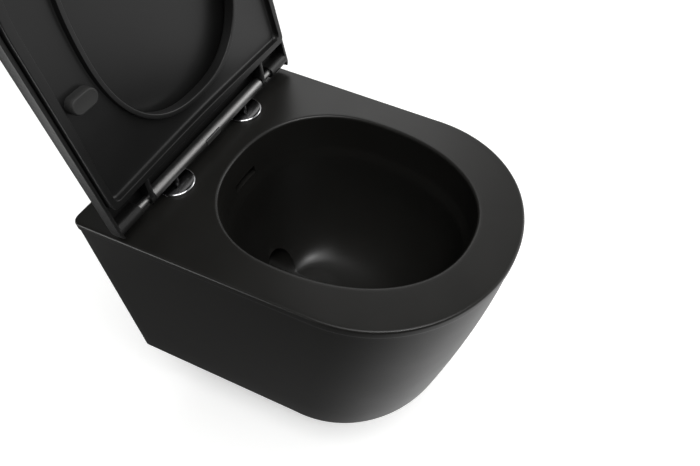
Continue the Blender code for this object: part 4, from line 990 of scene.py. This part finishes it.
def make_floor():
    deselect()
    bpy.ops.mesh.primitive_plane_add(size=FLOOR_SIZE, location=(0, 0, PAN_LOW.z - FLOOR_DROP))
    floor = bpy.context.object
    floor.name = "studio_floor"
    material = bpy.data.materials.new("pale_floor")
    material.use_nodes = True
    nodes, links = material.node_tree.nodes, material.node_tree.links
    shader = nodes["Principled BSDF"]
    noise = nodes.new("ShaderNodeTexNoise")
    noise.inputs["Scale"].default_value = 1.5
    ramp = nodes.new("ShaderNodeMix")
    ramp.data_type = "RGBA"
    ramp.inputs[6].default_value = (0.90, 0.90, 0.89, 1)
    ramp.inputs[7].default_value = (0.93, 0.93, 0.925, 1)
    links.new(noise.outputs["Fac"], ramp.inputs["Factor"])
    links.new(ramp.outputs[2], shader.inputs["Base Color"])
    shader.inputs["Roughness"].default_value = 0.9
    shader.inputs["Specular IOR Level"].default_value = 0.1
    shader.inputs["Emission Color"].default_value = (1, 1, 1, 1)
    shader.inputs["Emission Strength"].default_value = 0.35
    floor.data.materials.append(material)
    floor.visible_glossy = False
    floor.visible_diffuse = False


def lamp(name, kind, place, aim, power_watts):
    light = bpy.data.lights.new(name, kind)
    light.energy = power_watts
    holder = bpy.data.objects.new(name, light)
    holder.location = place
    holder.rotation_mode = "QUATERNION"
    holder.rotation_quaternion = (Vector(aim) - Vector(place)).to_track_quat("-Z", "Y")
    bpy.context.scene.collection.objects.link(holder)
    return holder


def softbox(name, place, aim, size, power_watts):
    holder = lamp(name, "AREA", place, aim, power_watts)
    holder.data.shape = "RECTANGLE"
    holder.data.size, holder.data.size_y = size
    return holder


def spotlight(name, place, aim, degrees, power_watts):
    holder = lamp(name, "SPOT", place, aim, power_watts)
    holder.data.spot_size = math.radians(degrees)
    holder.data.spot_blend = 1.0
    holder.data.shadow_soft_size = 0.15


CAMERA_ABOVE_DECK = 0.598
CAMERA_PLACE = Vector((-0.464, -0.573, DECK_Z + CAMERA_ABOVE_DECK))
CAMERA_TURN = math.radians(58.34)     # from +Y towards +X
CAMERA_TILT = math.radians(50.99)     # below the horizon
CAMERA_ROLL = math.radians(-4.39)
CAMERA_LENS = 33.4


def make_camera():
    camera = bpy.data.objects.new("camera", bpy.data.cameras.new("camera"))
    camera.data.lens = CAMERA_LENS
    camera.data.sensor_width = 36.0
    camera.data.clip_start = 0.01
    flat = math.cos(CAMERA_TILT)
    ahead = Vector((math.sin(CAMERA_TURN) * flat, math.cos(CAMERA_TURN) * flat, -math.sin(CAMERA_TILT)))
    level = ahead.cross(Vector((0, 0, 1))).normalized()
    above = level.cross(ahead)
    right = level * math.cos(CAMERA_ROLL) + above * math.sin(CAMERA_ROLL)
    up = above * math.cos(CAMERA_ROLL) - level * math.sin(CAMERA_ROLL)
    spin = Matrix((right, up, -ahead)).transposed().to_4x4()
    camera.matrix_world = Matrix.Translation(CAMERA_PLACE) @ spin
    bpy.context.scene.collection.objects.link(camera)
    bpy.context.scene.camera = camera


SKY_DIRECTION = Vector((0.80, -0.48, -0.36)).normalized()
SKY_EDGES = (-0.15, 0.75)     # where the sky starts and ends brightening towards that direction
SKY_DARK = 0.09


def make_sky():
    """Brighter towards one side for the surfaces; evenly white to the camera."""
    world = bpy.data.worlds.new("studio")
    world.use_nodes = True
    nodes, links = world.node_tree.nodes, world.node_tree.links
    place = nodes.new("ShaderNodeTexCoord")
    along = nodes.new("ShaderNodeVectorMath")
    along.operation = "DOT_PRODUCT"
    along.inputs[1].default_value = SKY_DIRECTION
    fade = nodes.new("ShaderNodeMapRange")
    fade.interpolation_type = "SMOOTHSTEP"
    for label, value in zip(("From Min", "From Max", "To Min", "To Max"), SKY_EDGES + (SKY_DARK, 1.0)):
        fade.inputs[label].default_value = value
    seen = nodes.new("ShaderNodeLightPath")
    strength = nodes.new("ShaderNodeMath")
    strength.operation = "MAXIMUM"
    back = nodes["Background"]
    back.inputs["Color"].default_value = (1.0, 1.0, 1.0, 1)
    links.new(place.outputs["Generated"], along.inputs[0])
    links.new(along.outputs["Value"], fade.inputs["Value"])
    links.new(fade.outputs["Result"], strength.inputs[0])
    links.new(seen.outputs["Is Camera Ray"], strength.inputs[1])
    links.new(strength.outputs[0], back.inputs["Strength"])
    bpy.context.scene.world = world


def make_studio():
    make_sky()
    middle = (0, -PAN_LENGTH / 2, DECK_Z)
    softbox("overhead", (-0.7, -0.9, 2.5), middle, (2.4, 2.0), 60)
    softbox("front_right", (2.2, -1.9, 1.1), middle, (1.6, 1.6), 20)
    softbox("rear_right", (1.9, 1.0, 2.0), middle, (1.6, 1.2), 14)
    left_low = softbox("left_low", (-1.0, 0.45, -0.22), middle, (0.8, 0.6), 6)
    left_low.visible_camera = False
    spotlight("bowl_spot", (-0.7, -1.1, 2.1), (0.06, -0.33, 0), 14, 80)


make_floor()
make_studio()
make_camera()
bpy.context.scene.view_settings.view_transform = "Standard"
